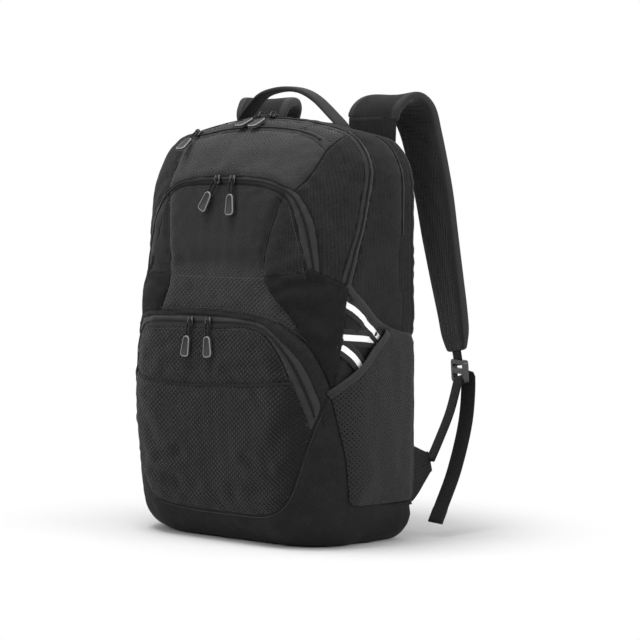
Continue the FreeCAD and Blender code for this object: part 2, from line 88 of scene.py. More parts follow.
WIDE = lengths(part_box("base_boot")[1])[0] - 1
FRONT = lengths(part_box("base_boot")[0])[1]
BACK = lengths(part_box("back_panel")[1])[1]
CROWN = lengths(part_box("main_zip_rear")[1])[2]
CORE_SIDE, CORE_FRONT, CORE_BACK, CORE_TOP, CORE_FOOT = WIDE / 2, -20, BACK - 16, CROWN - 90, 40
REACH = 73
QUARTER = REACH * math.pi / 2
MAIN_TAPE, TOP_TAPE, LAPTOP_TAPE = 6.5, 5.5, 4      # half the width of each zip
LAPTOP_ZIP, LAPTOP_FOOT = 54, 345                   # its depth, and how low it starts
FACE = 4.2          # the width of the skin's faces
INSIDE_GAP = 9      # how far the inner walls keep from the outer cloth
SIDE_TOP = 291      # how high the bottle pockets and the walls behind them reach
FRONT_EDGE = 151    # how far across the front the boot's front seam ends
LEFT_EDGE = -94.3   # where the top pocket's left seam runs


def curve_through(knots):
    """A smooth curve through knots of (place, value)."""
    at, value = (np.array(column, float) for column in zip(*knots))
    slope = np.gradient(value, at)

    def read(place):
        place = np.clip(place, at[0], at[-1])
        left = np.clip(np.searchsorted(at, place) - 1, 0, len(at) - 2)
        span = at[left + 1] - at[left]
        t = (place - at[left]) / span
        return ((2 * t**3 - 3 * t**2 + 1) * value[left] + (t**3 - 2 * t**2 + t) * span * slope[left]
                + (3 * t**2 - 2 * t**3) * value[left + 1] + (t**3 - t**2) * span * slope[left + 1])
    return read


front_line = curve_through([
    (0, FRONT + 12), (40, FRONT + 4), (100, FRONT - 1), (170, FRONT - 3), (230, FRONT),
    (270, FRONT + 4.5), (300, FRONT + 10), (350, FRONT + 16), (390, FRONT + 21),
    (430, FRONT + 25), (480, FRONT + 29)])
zip_depth = curve_through([(287, -38), (320, -26), (348, -15), (385, -5), (420, 2), (448, 2),
                           (470, -2), (480, -3)])


def ease(t):
    t = np.clip(t, 0, 1)
    return t * t * (3 - 2 * t)


def unit(rows):
    """The same directions, each of length 1."""
    return rows / np.maximum(np.linalg.norm(rows, axis=-1, keepdims=True), 1e-9)


def rounded(a, b, radius):
    """Where two faces meet, with the edge between them rounded."""
    a, b = a + radius, b + radius
    return np.hypot(np.maximum(a, 0), np.maximum(b, 0)) + np.minimum(np.maximum(a, b), 0) - radius


def gap(p):
    """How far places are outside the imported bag."""
    x, y, z = p[..., 0], p[..., 1], p[..., 2]
    forward = ease((-10 - y) / 55)
    belly = 8 * np.exp(-((z - 165) / 125) ** 2) * (1 - ease((y + 30) / 90))
    crown = np.hypot(x, z - 80) - CROWN + 80 + 0.12 * np.maximum(y - 5, 0)
    outline = rounded(np.abs(x) - WIDE - belly, crown, 38 + 52 * forward)
    body = rounded(outline, front_line(z) - y, REACH)
    body = rounded(body, -z, 34)
    return rounded(body, y - BACK, 14)


def outward(p):
    """The form's outward direction at places on or near it."""
    step = 0.5
    slope = np.stack([gap(p + step * axis) - gap(p - step * axis) for axis in np.eye(3)], -1)
    return unit(slope)


def on_form(p, keep=(1, 1, 1)):
    """The nearest places on the form; keep says which of x, y and z may change."""
    p = np.array(p, float)
    for _ in range(25):
        p = p - gap(p)[..., None] * outward(p) * np.array(keep) * 0.9
    return p


def traced(start, ray):
    """Where rays from inside the form come out of it."""
    place = start + ray * 40
    for _ in range(60):
        place = place - ray * gap(place)[..., None] * 0.9
    return place


def laid(points):
    """Places on the form, from distances over the cloth: across from the middle, and up."""
    across, up = np.array(points, float).T
    side, far = np.sign(across), np.abs(across)
    turn = np.clip((far - CORE_SIDE) / REACH, 0, math.pi / 2)
    rise = np.clip((up - CORE_TOP) / REACH, 0, math.pi / 2)
    back = np.maximum(far - CORE_SIDE - QUARTER, 0)
    start = np.stack([side * np.minimum(far, CORE_SIDE), CORE_FRONT + back,
                      np.minimum(up, CORE_TOP)], -1)
    ray = np.stack([side * np.sin(turn) * np.cos(rise), -np.cos(turn) * np.cos(rise),
                    np.sin(rise)], -1)
    return traced(start, ray)


def measured(p):
    """Distances over the cloth of places on the form, the other way round from laid."""
    x, y, z = p[..., 0], p[..., 1], p[..., 2]
    past = np.maximum(np.abs(x) - CORE_SIDE, 0)
    ahead = np.maximum(CORE_FRONT - y, 0)
    behind = np.maximum(y - CORE_FRONT, 0)
    flat = np.hypot(past, ahead)
    turn = np.where(past > 0, np.arctan2(past, ahead), 0)
    rise = np.where(z > CORE_TOP, np.arctan2(z - CORE_TOP, flat), 0)
    over = np.where(past > 0, 0, behind)
    far = np.where(past > 0, CORE_SIDE + REACH * turn + behind, np.abs(x))
    return np.sign(x) * far, np.where(z > CORE_TOP, CORE_TOP + REACH * rise + over, z)


# ---- seams

def smooth_line(points, step=4.0):
    """Evenly spaced points of a smooth line through the given ones."""
    points = np.array(points, float)
    ends = np.vstack([2 * points[0] - points[1], points, 2 * points[-1] - points[-2]])
    runs = []
    for a, b, c, d in zip(ends, ends[1:], ends[2:], ends[3:]):
        t = np.linspace(0, 1, 16, endpoint=False)[:, None]
        runs.append(b + 0.5 * t * (c - a + t * (2 * a - 5 * b + 4 * c - d
                                               + t * (3 * (b - c) + d - a))))
    line = np.vstack([*runs, points[-1:]])
    return even(line, max(2, int(round(distances(line)[-1] / step))))


def distances(line):
    """How far along a line each of its points is."""
    return np.append(0, np.cumsum(np.linalg.norm(np.diff(line, axis=0), axis=1)))


def even(line, count):
    """The same line in count equal steps."""
    far = distances(line)
    at = np.linspace(0, far[-1], count + 1)
    return np.stack([np.interp(at, far, column) for column in line.T], -1)


def mirrored(points):
    return [(-p[0], *p[1:]) for p in points][::-1]


class Seam:
    """A line sewn over the form, with the direction to one side of it."""

    def __init__(self, places, dip=1.6, width=3.5):
        self.places = np.array(places)
        self.dip, self.width = dip, width
        self.out = outward(self.places)
        self.beside = np.cross(unit(np.gradient(self.places, axis=0)), self.out)
        self.tree = tree_of(self.places)

    def shifted(self, distance, **details):
        """The line moved over the form to the right of its run, or left if negative."""
        return Seam(on_form(self.places + distance * self.beside), **details)

    def side_of(self, places):
        """How far places are to the right of the line."""
        nearest = [self.tree.find(p)[1] for p in places]
        away = places - self.places[nearest]
        return (away * self.beside[nearest]).sum(1), np.linalg.norm(away, axis=1)


def tree_of(places):
    tree = KDTree(len(places))
    for index, place in enumerate(places):
        tree.insert(place, index)
    tree.balance()
    return tree


def between(first, second, **details):
    """The middle line of two others."""
    count = len(first.places)
    return Seam(on_form((even(first.places, count) + even(second.places, count)) / 2), **details)


def flat_seam(points, **details):
    return Seam(laid(smooth_line(points)), **details)


BOOT_FRONT = [(-151, 177), (-141, 150), (-134, 112), (-125, 76), (-115, 58), (-100, 44), (-66, 38),
              (-20, 36), (40, 36), (71, 37), (94, 44), (108, 59), (118, 85), (133, 133), (151, 177)]
BOOT_SIDE = [(151, 177), (159, 142), (165, 118), (170, 96), (174, 68), (178, 50), (204, 47),
             (235, 46), (300, 46)]
LOWER_IN = [(-139, 118), (-137, 150), (-134, 180), (-131, 205), (-126, 226), (-112, 238),
            (-79, 241.5), (-16, 242), (38, 245), (60, 243), (80, 236), (99, 215), (113, 185),
            (125, 154), (133, 128)]
LOWER_OUT = [(-149, 140), (-147, 170), (-144, 200), (-138, 230), (-126, 247), (-106, 252),
             (-86, 253.5), (-40, 255), (4, 255), (42, 253), (70, 249), (87, 241), (110, 223),
             (125, 204), (136, 179), (142, 160), (143, 138)]
BAND_OUT = [(-152, 178), (-151, 204), (-147, 232), (-136, 249), (-116, 257), (-60, 260),
            (0, 261), (48, 258.5), (91, 251.5), (109, 243), (132, 222), (150, 187), (152, 176)]
SLIP_EDGE = [(-133, 190), (-110, 181), (-57, 176.5), (31, 179), (80, 182.5), (119, 186)]
UPPER_IN = [(-129, 297), (-128, 310), (-122, 332), (-114, 359), (-103, 384), (-86, 401),
            (-52, 409), (9, 410), (49, 407), (80, 397), (103, 382), (114, 359), (122, 332),
            (128, 310), (130, 297)]
UPPER_OUT = [(-145, 297), (-143, 332), (-137, 364), (-124, 385), (-107, 400), (-83, 413),
             (-57, 419), (-27, 422), (17, 422), (58, 418), (79, 411), (110, 399), (124, 385),
             (137, 364), (143, 332), (145, 297)]
FRONT_RIGHT = [(91, 396), (74, 363), (66, 332), (65, 306), (75, 290), (103, 265), (118, 247)]
FRONT_LEFT = [(-106, 398), (-96, 366), (-82, 312), (-79, 292), (-84, 272), (-91, 254)]
HINGE = [(-131, 301), (-60, 300), (60, 300), (131, 306)]
WING_TOP = [(122, 305), (130, 310), (141, 307), (155, 300), (177, 290)]
WING_REAR = [(177, 291), (171, 269), (166, 240), (162, 215), (158, 201), (151, 176)]
BINDING = [(174, 292), (181, 282), (193, 271), (216, 251), (240, 239), (263, 233), (281, 231)]
MOUTH = [(150, 175), (165, 188), (177, 198), (187, 208), (198, 219), (215, 232), (226, 241)]
SIDE_SEAM = [(207, 462), (190, 458), (163, 451), (136, 425), (109, 399)]
TOP_ZIP = [(-94, -27, 458), (-70, -33, 461), (-34, -32, 466), (14, -31, 468), (73, -29, 464),
           (104, -30, 452), (124, -31, 436), (134, -33, 424)]
LEFT_SEAM = [(-94, -27, 458), (-94, -45, 445), (-94, -58, 425), (-95, -64, 405)]


def around(depth, low=287):
    """The line round both sides and the crown at a depth that depends on height."""
    side = [(WIDE, z) for z in np.arange(low, 430, 4.0)]
    corner = [(WIDE - 60 + 62 * math.cos(a), CROWN - 90 + 62 * math.sin(a))
              for a in np.linspace(0.5, 0.95, 8)]
    top = [(x, CROWN) for x in np.arange(84, -0.1, -4.0)]
    half_way = np.array(side + corner + top)
    p = np.stack([half_way[:, 0], depth(half_way[:, 1]), half_way[:, 1]], -1)
    for _ in range(6):
        p = on_form(p, (1, 0, 1))
        p[:, 1] = depth(p[:, 2])
    p[:, 0] = np.maximum(p[:, 0], 0)
    p = np.vstack([p, (p * (-1, 1, 1))[-2::-1]])
    return on_form(even(p, int(len(p) * 1.1)), (1, 0, 1))


def level_round(depth, low=287):
    return around(lambda z: depth + 0 * z, low)


def both(points, **details):
    """The seam on the right and its mirror image on the left."""
    return [flat_seam(points, **details), flat_seam(mirrored(points), **details)]


boot_front = flat_seam(BOOT_FRONT, dip=1.5)
boot_sides = both(BOOT_SIDE)
lower_in = flat_seam(LOWER_IN, dip=1.8)
lower_out = flat_seam(LOWER_OUT, dip=1.8)
lower_mid = between(lower_in, lower_out, dip=0.4, width=3)
band_out = flat_seam(BAND_OUT, dip=2.2)
slip_edge = flat_seam(SLIP_EDGE, dip=0.8, width=2)
upper_in = flat_seam(UPPER_IN, dip=1.8)
upper_out = flat_seam(UPPER_OUT, dip=1.8)
upper_mid = between(upper_in, upper_out, dip=0.4, width=3)
front_seams = [flat_seam(line, dip=2.4, width=5) for line in (FRONT_LEFT, FRONT_RIGHT)]
hinge = flat_seam(HINGE, dip=0)
wing_tops = both(WING_TOP, dip=1)
wing_rears = both(WING_REAR, dip=2)
bindings = both(BINDING)
mouths = both(MOUTH, dip=0)
side_seam = flat_seam(SIDE_SEAM, dip=1.8)
top_mid = Seam(on_form(smooth_line(TOP_ZIP)), dip=0.4, width=3)
top_edges = [top_mid.shifted(TOP_TAPE), top_mid.shifted(-TOP_TAPE)]
left_seam = Seam(on_form(smooth_line(LEFT_SEAM)), dip=1.8)
main_mid = Seam(around(zip_depth), dip=0.4, width=3)
main_front = Seam(around(lambda z: zip_depth(z) - MAIN_TAPE), dip=1.8)
main_back = Seam(around(lambda z: zip_depth(z) + MAIN_TAPE), dip=1.8)
laptop_front = Seam(level_round(LAPTOP_ZIP - LAPTOP_TAPE), dip=2)
laptop_mid = Seam(level_round(LAPTOP_ZIP), dip=1.2, width=1.3)
laptop_back = Seam(level_round(LAPTOP_ZIP + LAPTOP_TAPE), dip=1.5)
seams = [boot_front, *boot_sides, lower_in, lower_mid, lower_out, band_out, slip_edge, upper_in,
         upper_mid, upper_out, *front_seams, hinge, *wing_tops, *wing_rears, *bindings, *mouths,
         side_seam, top_mid, *top_edges, left_seam, main_front, main_mid, main_back]


# ---- the skin, cut along its seams

def places_of(bm):
    """The places of a mesh's points, as rows."""
    return np.array([v.co for v in bm.verts])


def move_to(bm, places):
    for vert, place in zip(bm.verts, places):
        vert.co = place


def add_cube(bm, size):
    verts = bmesh.ops.create_cube(bm, size=1)["verts"]
    bmesh.ops.scale(bm, vec=size, verts=verts)
    return verts


def box_skin():
    """The form as one closed skin of small faces."""
    low = np.array((-WIDE - 8, FRONT - 3, 0))
    high = np.array((WIDE + 8, BACK, CROWN))
    bm = bmesh.new()
    bmesh.ops.translate(bm, vec=(high + low) / 2, verts=add_cube(bm, high - low))
    for axis in range(3):
        runs = [e for e in bm.edges
                if abs((e.verts[0].co - e.verts[1].co).normalized()[axis]) > 0.9]
        bmesh.ops.subdivide_edges(bm, edges=runs, cuts=int((high - low)[axis] / FACE),
                                  use_grid_fill=True)
    p = places_of(bm)
    start = np.clip(p, (-CORE_SIDE, CORE_FRONT, CORE_FOOT), (CORE_SIDE, CORE_BACK, CORE_TOP))
    move_to(bm, traced(start, unit(p - start)))
    return bm


def cut_along(bm, corners, tree, seam):
    """Cut the faces that a seam crosses, along it."""
    for a, b in zip(seam.places, seam.places[1:]):
        middle, run = Vector((a + b) / 2), Vector(b - a)
        far = run.length
        run.normalize()
        out = Vector(outward(np.array(middle)))
        near = {face for _, index, _ in tree.find_range(middle, far / 2 + 7)
                for face in corners[index].link_faces}
        crossed = []
        for face in near:
            reach = [(v.co - Vector(a)).dot(run) for v in face.verts]
            if max(reach) > -0.3 and min(reach) < far + 0.3:
                crossed.append(face)
        if not crossed:
            continue
        edges = {e for face in crossed for e in face.edges}
        verts = {v for face in crossed for v in face.verts}
        bmesh.ops.bisect_plane(bm, geom=[*crossed, *edges, *verts], dist=0.15,
                               plane_co=a, plane_no=run.cross(out))


def inside(outline, across, up):
    """Which points of the cloth lie inside a closed outline."""
    outline = np.array(outline, float)
    found = np.zeros(len(across), bool)
    for (x0, y0), (x1, y1) in zip(outline, np.roll(outline, -1, 0)):
        if y0 != y1:
            crosses = (up < y0) != (up < y1)
            found ^= crosses & (across < x0 + (up - y0) * (x1 - x0) / (y1 - y0))
    return found


def height_of(line, across):
    line = smooth_line(line)
    return np.interp(across, line[:, 0], line[:, 1])


def across_at(line, up):
    """How far across a line is at each height, for a line that runs down."""
    across, height = smooth_line(line)[::-1].T
    return np.interp(up, height, across)


def sorted_faces(p):
    """The name of the panel that each face belongs to, from the middles of the faces."""
    across, up = measured(p)
    y, z = p[:, 1], p[:, 2]
    far = np.abs(across)
    boot = np.where(far < FRONT_EDGE, height_of(BOOT_FRONT, across), height_of(BOOT_SIDE, far))
    from_zip = y - zip_depth(z)
    lid = ~inside([*smooth_line(mirrored(WING_TOP)), *smooth_line(HINGE)[1:-1],
                   *smooth_line(WING_TOP), (300, 290), (300, 0), (-300, 0), (-300, 290)],
                  across, up)
    lower = inside([*smooth_line(LOWER_IN), (133, 0), (-139, 0)], across, up)
    lower_tape = inside([*smooth_line(LOWER_OUT), (143, 0), (-149, 0)], across, up)
    band = inside([*smooth_line(BAND_OUT), (152, 0), (-152, 0)], across, up)
    upper = inside(smooth_line(UPPER_IN), across, up)
    upper_tape = inside(smooth_line(UPPER_OUT), across, up)
    low_side, _ = lower_mid.side_of(p)
    high_side, _ = upper_mid.side_of(p)
    top_side, top_far = top_mid.side_of(p)
    left, right = across < across_at(FRONT_LEFT, up), across > across_at(FRONT_RIGHT, up)
    wing = far < across_at(WING_REAR, up)
    below_binding = up < height_of(BINDING, far)
    pocket = below_binding & ~wing & (z < SIDE_TOP) & ((far > 226) | (up < height_of(MOUTH, far)))
    slip = up < height_of(SLIP_EDGE, across)
    on_right = (across > 109) & (up < np.interp(across, *smooth_line(SIDE_SEAM)[::-1].T))
    rules = [
        ("back", y > BACK - 5.5), ("boot", up < boot),
        ("slip_pocket", lower & slip), ("lower_flap", lower),
        ("lower_tape_in", lower_tape & (low_side > 0)), ("lower_tape_out", lower_tape),
        ("cover_band", band),
        ("front_strip", ~lid & ~left & ~right),
        ("wing_left", ~lid & wing & (across < 0)), ("wing_right", ~lid & wing),
        ("pocket_left", pocket & (across < 0)), ("pocket_right", pocket),
        ("side_left", below_binding & ~wing & (across < 0) & (z < SIDE_TOP)),
        ("side_right", below_binding & ~wing & (z < SIDE_TOP)),
        ("laptop_tape", (np.abs(y - LAPTOP_ZIP) < LAPTOP_TAPE) & (z > LAPTOP_FOOT)),
        ("laptop_gusset", y > LAPTOP_ZIP - LAPTOP_TAPE),
        ("rear_gusset", (from_zip > MAIN_TAPE) | (z < 290) & (y > -36)),
        ("main_tape_rear", from_zip > 0), ("main_tape_front", from_zip > -MAIN_TAPE),
        ("flap_left", upper & left), ("flap_right", upper & right), ("upper_flap", upper),
        ("upper_tape_in", upper_tape & (high_side > 0)), ("upper_tape_out", upper_tape),
        ("lid_right", on_right), ("lid_left", p[:, 0] < LEFT_EDGE),
        ("top_tape_out", (top_side > 0) & (top_side < TOP_TAPE) & (top_far < 9)),
        ("top_tape_in", (top_side <= 0) & (top_side > -TOP_TAPE) & (top_far < 9)),
        ("cap", top_side < 0), ("top_panel", top_side >= 0)]
    names = [name for name, _ in rules]
    return names, np.select([test for _, test in rules], range(len(rules)), len(rules) - 1)


def rumple(p, size, seed):
    """Soft uneven folds about size apart, from -1 to 1."""
    turn = np.random.default_rng(seed)
    total = 0
    for _ in range(7):
        way = unit(turn.normal(size=3))
        total = total + np.sin(p @ way * 6.28 / (size * turn.uniform(0.7, 1.5))
                               + turn.uniform(0, 6.28))
    return total / 7


# folds placed one by one: points over the cloth, depth and half width
FOLDS = (
    ([(52, 100), (66, 92), (86, 88)], 1.6, 6), ([(30, 62), (60, 66), (92, 78)], 1.2, 8),
    ([(-120, 150), (-104, 130), (-86, 96)], 1.4, 9), ([(-112, 86), (-90, 72), (-60, 64)], 1.2, 8),
    ([(66, 224), (90, 214), (104, 196)], 1.0, 7), ([(20, 196), (60, 200), (100, 204)], 0.8, 7),
    ([(88, 300), (104, 305), (121, 312)], 2.2, 6), ([(92, 286), (116, 292), (142, 291)], 2.0, 6),
    ([(100, 262), (124, 262), (150, 250)], 1.4, 8), ([(112, 246), (132, 232), (156, 222)], 1.2, 7),
    ([(94, 320), (106, 330), (110, 350)], 1.2, 8), ([(-64, 312), (-20, 318), (50, 310)], 0.8, 10),
    ([(-92, 440), (-60, 446), (-20, 442)], 0.8, 9), ([(120, 418), (140, 400), (152, 370)], 1.2, 8),
    ([(200, 290), (222, 310), (250, 318)], 1.6, 12),
    ([(196, 330), (214, 352), (232, 396)], 1.2, 10),
    ([(226, 262), (244, 284), (262, 300)], 1.2, 10), ([(110, 30), (128, 60), (142, 104)], 1.2, 8),
    ([(-40, 14), (10, 18), (70, 14)], 1.0, 8), ([(180, 24), (210, 20), (250, 26)], 1.0, 8),
)


def shaped(p):
    """Places on the form moved in at the seams and folds and out where the filling presses."""
    out = outward(p)
    near = np.full(len(p), 60.0)
    move = np.zeros(len(p))
    for seam in seams:
        if seam.dip:
            _, far = seam.side_of(p)
            near = np.minimum(near, far)
            move = np.minimum(move, -seam.dip * np.exp(-(far / seam.width) ** 2))
    move += 1.6 * (1 - np.exp(-near / 14))
    for points, depth, width in FOLDS:
        for line in (points, mirrored(points)):
            _, far = Seam(laid(smooth_line(line, 6))).side_of(p)
            move -= depth * np.exp(-(far / width) ** 2)
            move += 0.5 * depth * np.exp(-((far - 1.9 * width) / width) ** 2)
    soft = 1 - np.exp(-near / 8)
    move += soft * (1.3 * rumple(p, 46, 3) + 0.6 * rumple(p, 19, 5))
    move += 1.5 * near / 7 * np.exp(1 - near / 7) * rumple(p, 13, 8)
    placed = p + out * move[:, None]
    right = 2 + 3.5 * ease((p[:, 1] + 10) / 60)
    left = 8 + 3.5 * ease((p[:, 2] - 260) / 120)
    fuller = np.where(p[:, 0] < 0, left, right) * ease((np.abs(p[:, 0]) - 70) / 75)
    placed[:, 0] += np.sign(p[:, 0]) * fuller
    return placed


skin = box_skin()
corners = list(skin.verts)
corner_tree = tree_of([v.co for v in corners])
for seam in [*seams, laptop_front, laptop_back]:
    cut_along(skin, corners, corner_tree, seam)
seams += [laptop_front, laptop_mid, laptop_back]
skin.faces.ensure_lookup_table()
panel_names, panel_of = sorted_faces(np.array([f.calc_center_median() for f in skin.faces]))
panel_mark = skin.faces.layers.int.new("panel")
for face, number in zip(skin.faces, panel_of):
    face[panel_mark] = int(number)
move_to(skin, shaped(places_of(skin)))


# ---- materials

class Value:
    """A number that varies over a surface; sums and products of it add Math nodes."""

    def __init__(self, finish, socket):
        self.finish, self.socket = finish, socket

    def math(self, operation, *others):
        values = dict(enumerate((self, *others)))
        return self.finish.node("Math", {"operation": operation}, values)

    def __add__(self, other):
        return self.math("ADD", other)

    def __sub__(self, other):
        return self.math("SUBTRACT", other)

    def __mul__(self, other):
        return self.math("MULTIPLY", other)

    def __rsub__(self, other):
        return self.finish.node("Math", {"operation": "SUBTRACT"}, {0: other, 1: self})

    __radd__ = __add__
    __rmul__ = __mul__

    def band(self, low, high):
        """0 below low, 1 above high, smooth between."""
        return self.finish.node("MapRange", {"interpolation_type": "SMOOTHSTEP"},
                                {"Value": self, "From Min": low, "From Max": high})


class Finish:
    """One material, built node by node."""

    def __init__(self, name, holder=None):
        self.material = holder or bpy.data.materials.new(name)
        self.material.use_nodes = True
        self.tree = self.material.node_tree
        self.tree.nodes.clear()

    def node(self, kind, settings=None, values=None, output=0):
        made = self.tree.nodes.new("ShaderNode" + kind)
        for name, value in (settings or {}).items():
            setattr(made, name, value)
        for name, value in (values or {}).items():
            if isinstance(value, Value):
                self.tree.links.new(value.socket, made.inputs[name])
            else:
                made.inputs[name].default_value = value
        return Value(self, made.outputs[output]) if made.outputs else None

    def cloth_point(self, scale):
        """The place over the cloth, in units of scale metres, as across and up."""
        uv = self.node("UVMap", {"uv_map": "cloth"})
        put = self.node("VectorMath", {"operation": "MULTIPLY"},
                        {0: uv, 1: (1 / scale[0], 1 / scale[1], 1)})
        split = self.node("SeparateXYZ", None, {0: put})
        return split, Value(self, split.socket.node.outputs[1])

    def object_point(self):
        return self.node("TexCoord", None, None, 3)

    def grain(self, size, detail=2.0):
        """Even noise with grains of about size metres, from 0 to 1."""
        return self.node("TexNoise", None,
                         {"Vector": self.object_point(), "Scale": 1 / size, "Detail": detail,
                          "Roughness": 0.6})

    def mix(self, factor, first, second):
        """From the first colour to the second as factor goes from 0 to 1."""
        return self.node("Mix", {"data_type": "RGBA"},
                         {0: factor, 6: first, 7: second}, 2)

    def surface(self, colour, rough, bump=None, height=0.0003, strength=1.0, alpha=None, **fixed):
        values = {"Base Color": colour, "Roughness": rough, "Specular IOR Level": 0.1}
        if bump is not None:
            values["Normal"] = self.node("Bump", None, {
                "Strength": strength, "Distance": height, "Height": bump})
        if alpha is not None:
            values["Alpha"] = alpha
        values.update({name.replace("_", " "): value for name, value in fixed.items()})
        shader = self.node("BsdfPrincipled", None, values)
        self.node("OutputMaterial", None, {0: shader})
        return self.material


def grey(level):
    return (level, level, level, 1)


def wave(value, turns):
    return (value * (turns * 2 * math.pi)).math("SINE") * 0.5 + 0.5


def cells(finish, wide, tall):
    """Distance from the middle of staggered cells, 0 at the middle and about 0.5 between them."""
    across, up = finish.cloth_point((wide, tall))
    found = []
    for shift in (0.0, 0.5):
        x = ((across + shift).math("FRACT") - 0.5).math("ABSOLUTE")
        y = ((up + shift).math("FRACT") - 0.5).math("ABSOLUTE")
        found.append((x * x + y * y * (tall / wide) ** 2).math("SQRT"))
    return found[0].math("MINIMUM", found[1])


def twill(finish, pitch=0.0013):
    across, up = finish.cloth_point((pitch, pitch))
    return wave(across + up, 1) * 0.6 + wave(across * 2 - up, 1) * 0.4


def plain_cloth(name, level, shine, rough=0.78, columns=0.0):
    """Smooth woven nylon, a little uneven; columns is how strongly its fine stripes show."""
    finish = Finish(name)
    weave = twill(finish)
    uneven = finish.grain(0.03).band(0.3, 0.7)
    fuzz = finish.grain(0.0012)
    fleck = finish.grain(0.0024).band(0.3, 0.7)
    shade = weave * 0.25 + uneven * 0.2 + fuzz * 0.2 + fleck * 0.35
    if columns:
        across, _ = finish.cloth_point((1, 1))
        shade = shade + (wave(across, 1 / 0.0044) - 0.5) * columns
    colour = finish.mix(shade, grey(level * 0.45), grey(level * 1.55))
    return finish.surface(colour, rough + fuzz * 0.12, weave * 0.6 + fuzz * 0.8, 0.00022, 0.7,
                          Sheen_Weight=shine, Sheen_Roughness=0.45)


def honeycomb_cloth(name, level, wide, tall, fade=None):
    """Cloth woven in small raised cells with darker lines between them."""
    finish = Finish(name)
    away = cells(finish, wide, tall)
    cell = lit = 1 - away.band(0.24, 0.42)
    weave = twill(finish, 0.0011)
    if fade:
        _, up = finish.cloth_point((1, 1))
        uneven = (finish.grain(0.02) - 0.5) * 0.02
        plain = (up + uneven).band(*fade)
        cell = cell * (1 - plain)
        lit = cell + plain * 0.5
    fuzz = finish.grain(0.0011)
    broad = finish.grain(0.035).band(0.3, 0.7)
    fleck = finish.grain(0.0024).band(0.3, 0.7)
    shade = lit * 0.64 + weave * 0.06 + broad * 0.1 + fuzz * 0.06 + fleck * 0.14
    colour = finish.mix(shade, grey(level * 0.18), grey(level * 1.7))
    height = cell + weave * 0.12 + fuzz * 0.2 + fleck * 0.2
    return finish.surface(colour, 0.74 + fuzz * 0.14, height, 0.0011, 1.0,
                          Sheen_Weight=0.12, Sheen_Roughness=0.5)


def open_mesh(name, level, wide, tall, hole):
    """A knitted net: round holes in staggered rows, threads raised between them."""
    finish = Finish(name)
    away = cells(finish, wide, tall)
    thread = away.band(hole - 0.05, hole + 0.05)
    fuzz = finish.grain(0.0009)
    colour = finish.mix(thread * 0.8 + fuzz * 0.3, grey(level * 0.2), grey(level * 1.3))
    return finish.surface(colour, 0.7 + fuzz * 0.2, thread + fuzz * 0.2, 0.0006, 0.8,
                          alpha=thread * 0.5 + 0.5, Sheen_Weight=0.1)


def air_mesh(name, level, pitch):
    """Padded spacer mesh: small dark pits close together, read from the place in space."""
    finish = Finish(name)
    pits = finish.node("TexVoronoi", {"feature": "F1"}, {
        "Vector": finish.object_point(), "Scale": 1 / pitch, "Randomness": 0.25})
    pit = pits.band(0.18, 0.5)
    fuzz = finish.grain(0.0012)
    colour = finish.mix(pit * 0.75 + fuzz * 0.25, grey(level * 0.2), grey(level * 1.35))
    return finish.surface(colour, 0.8 + fuzz * 0.12, pit + fuzz * 0.3, 0.0006, 0.8,
                          Sheen_Weight=0.15)


def ribbed_webbing(name, level, stripe=0.0):
    """Woven webbing with cross ribs; stripe is the half width of its white centre line."""
    finish = Finish(name)
    across, along = finish.cloth_point((1, 1))
    rib = wave(along, 1 / 0.0019)
    herring = wave(across.math("ABSOLUTE") + along, 1 / 0.003)
    fuzz = finish.grain(0.0008)
    shade = rib * 0.45 + herring * 0.25 + fuzz * 0.3
    colour = finish.mix(shade, grey(level * 0.55), grey(level * 1.4))
    if stripe:
        pale = finish.mix(shade, grey(0.72), grey(0.95))
        colour = finish.mix(across.math("ABSOLUTE").band(stripe + 0.0003, stripe - 0.0003),
                            colour, pale)
    return finish.surface(colour, 0.7 + fuzz * 0.15, rib + herring * 0.4 + fuzz * 0.3, 0.0003,
                          0.8, Sheen_Weight=0.1)


def zip_cloth(name, level):
    """Zip tape: a fine herringbone woven tape that catches a little light."""
    finish = Finish(name)
    across, up = finish.cloth_point((0.0014, 0.0014))
    ribs = wave(across, 1) * 0.5 + wave(up, 1) * 0.5
    fuzz = finish.grain(0.0009)
    uneven = finish.grain(0.02)
    colour = finish.mix(ribs * 0.4 + fuzz * 0.3 + uneven * 0.3, grey(level * 0.6),
                        grey(level * 1.4))
    return finish.surface(colour, 0.62 + fuzz * 0.15, ribs + fuzz * 0.3, 0.0002, 0.7,
                          Sheen_Weight=0.1)


def hard_finish(name, level, rough, metal=0.0, wear=1.5):
    """Moulded plastic or painted metal, with fine scuffs."""
    finish = Finish(name)
    fine = finish.grain(0.0011, 4.0)
    broad = finish.grain(0.006)
    colour = finish.mix(broad * 0.6 + fine * 0.4, grey(level * 0.75), grey(level * wear))
    return finish.surface(colour, rough + fine * 0.14, fine, 0.00008, 0.5, Metallic=metal,
                          Specular_IOR_Level=0.5)


shell = plain_cloth("shell_twill", 0.0140, 0.04)
smooth_shell = plain_cloth("smooth_nylon", 0.0150, 0.03, columns=0.3)
wing_cloth = plain_cloth("wing_nylon", 0.0085, 0.02)
boot_cloth = plain_cloth("boot_nylon", 0.0115, 0.02, 0.72)
coarse = honeycomb_cloth("coarse_honeycomb", 0.0046, 0.0064, 0.0056)
fading = honeycomb_cloth("fading_honeycomb", 0.0125, 0.0064, 0.0056, (0.292, 0.322))
fine = honeycomb_cloth("fine_honeycomb", 0.0250, 0.0050, 0.0042)
net = open_mesh("pocket_net", 0.0148, 0.0048, 0.0052, 0.15)
pad_mesh = air_mesh("spacer_mesh", 0.021, 0.0046)
lining = plain_cloth("lining_cloth", 0.030, 0.05)
edge_tape = ribbed_webbing("edge_tape", 0.026)
strap_web = ribbed_webbing("strap_webbing", 0.018)
striped = ribbed_webbing("striped_webbing", 0.020, 0.0033)
tape = zip_cloth("zip_tape_cloth", 0.024)
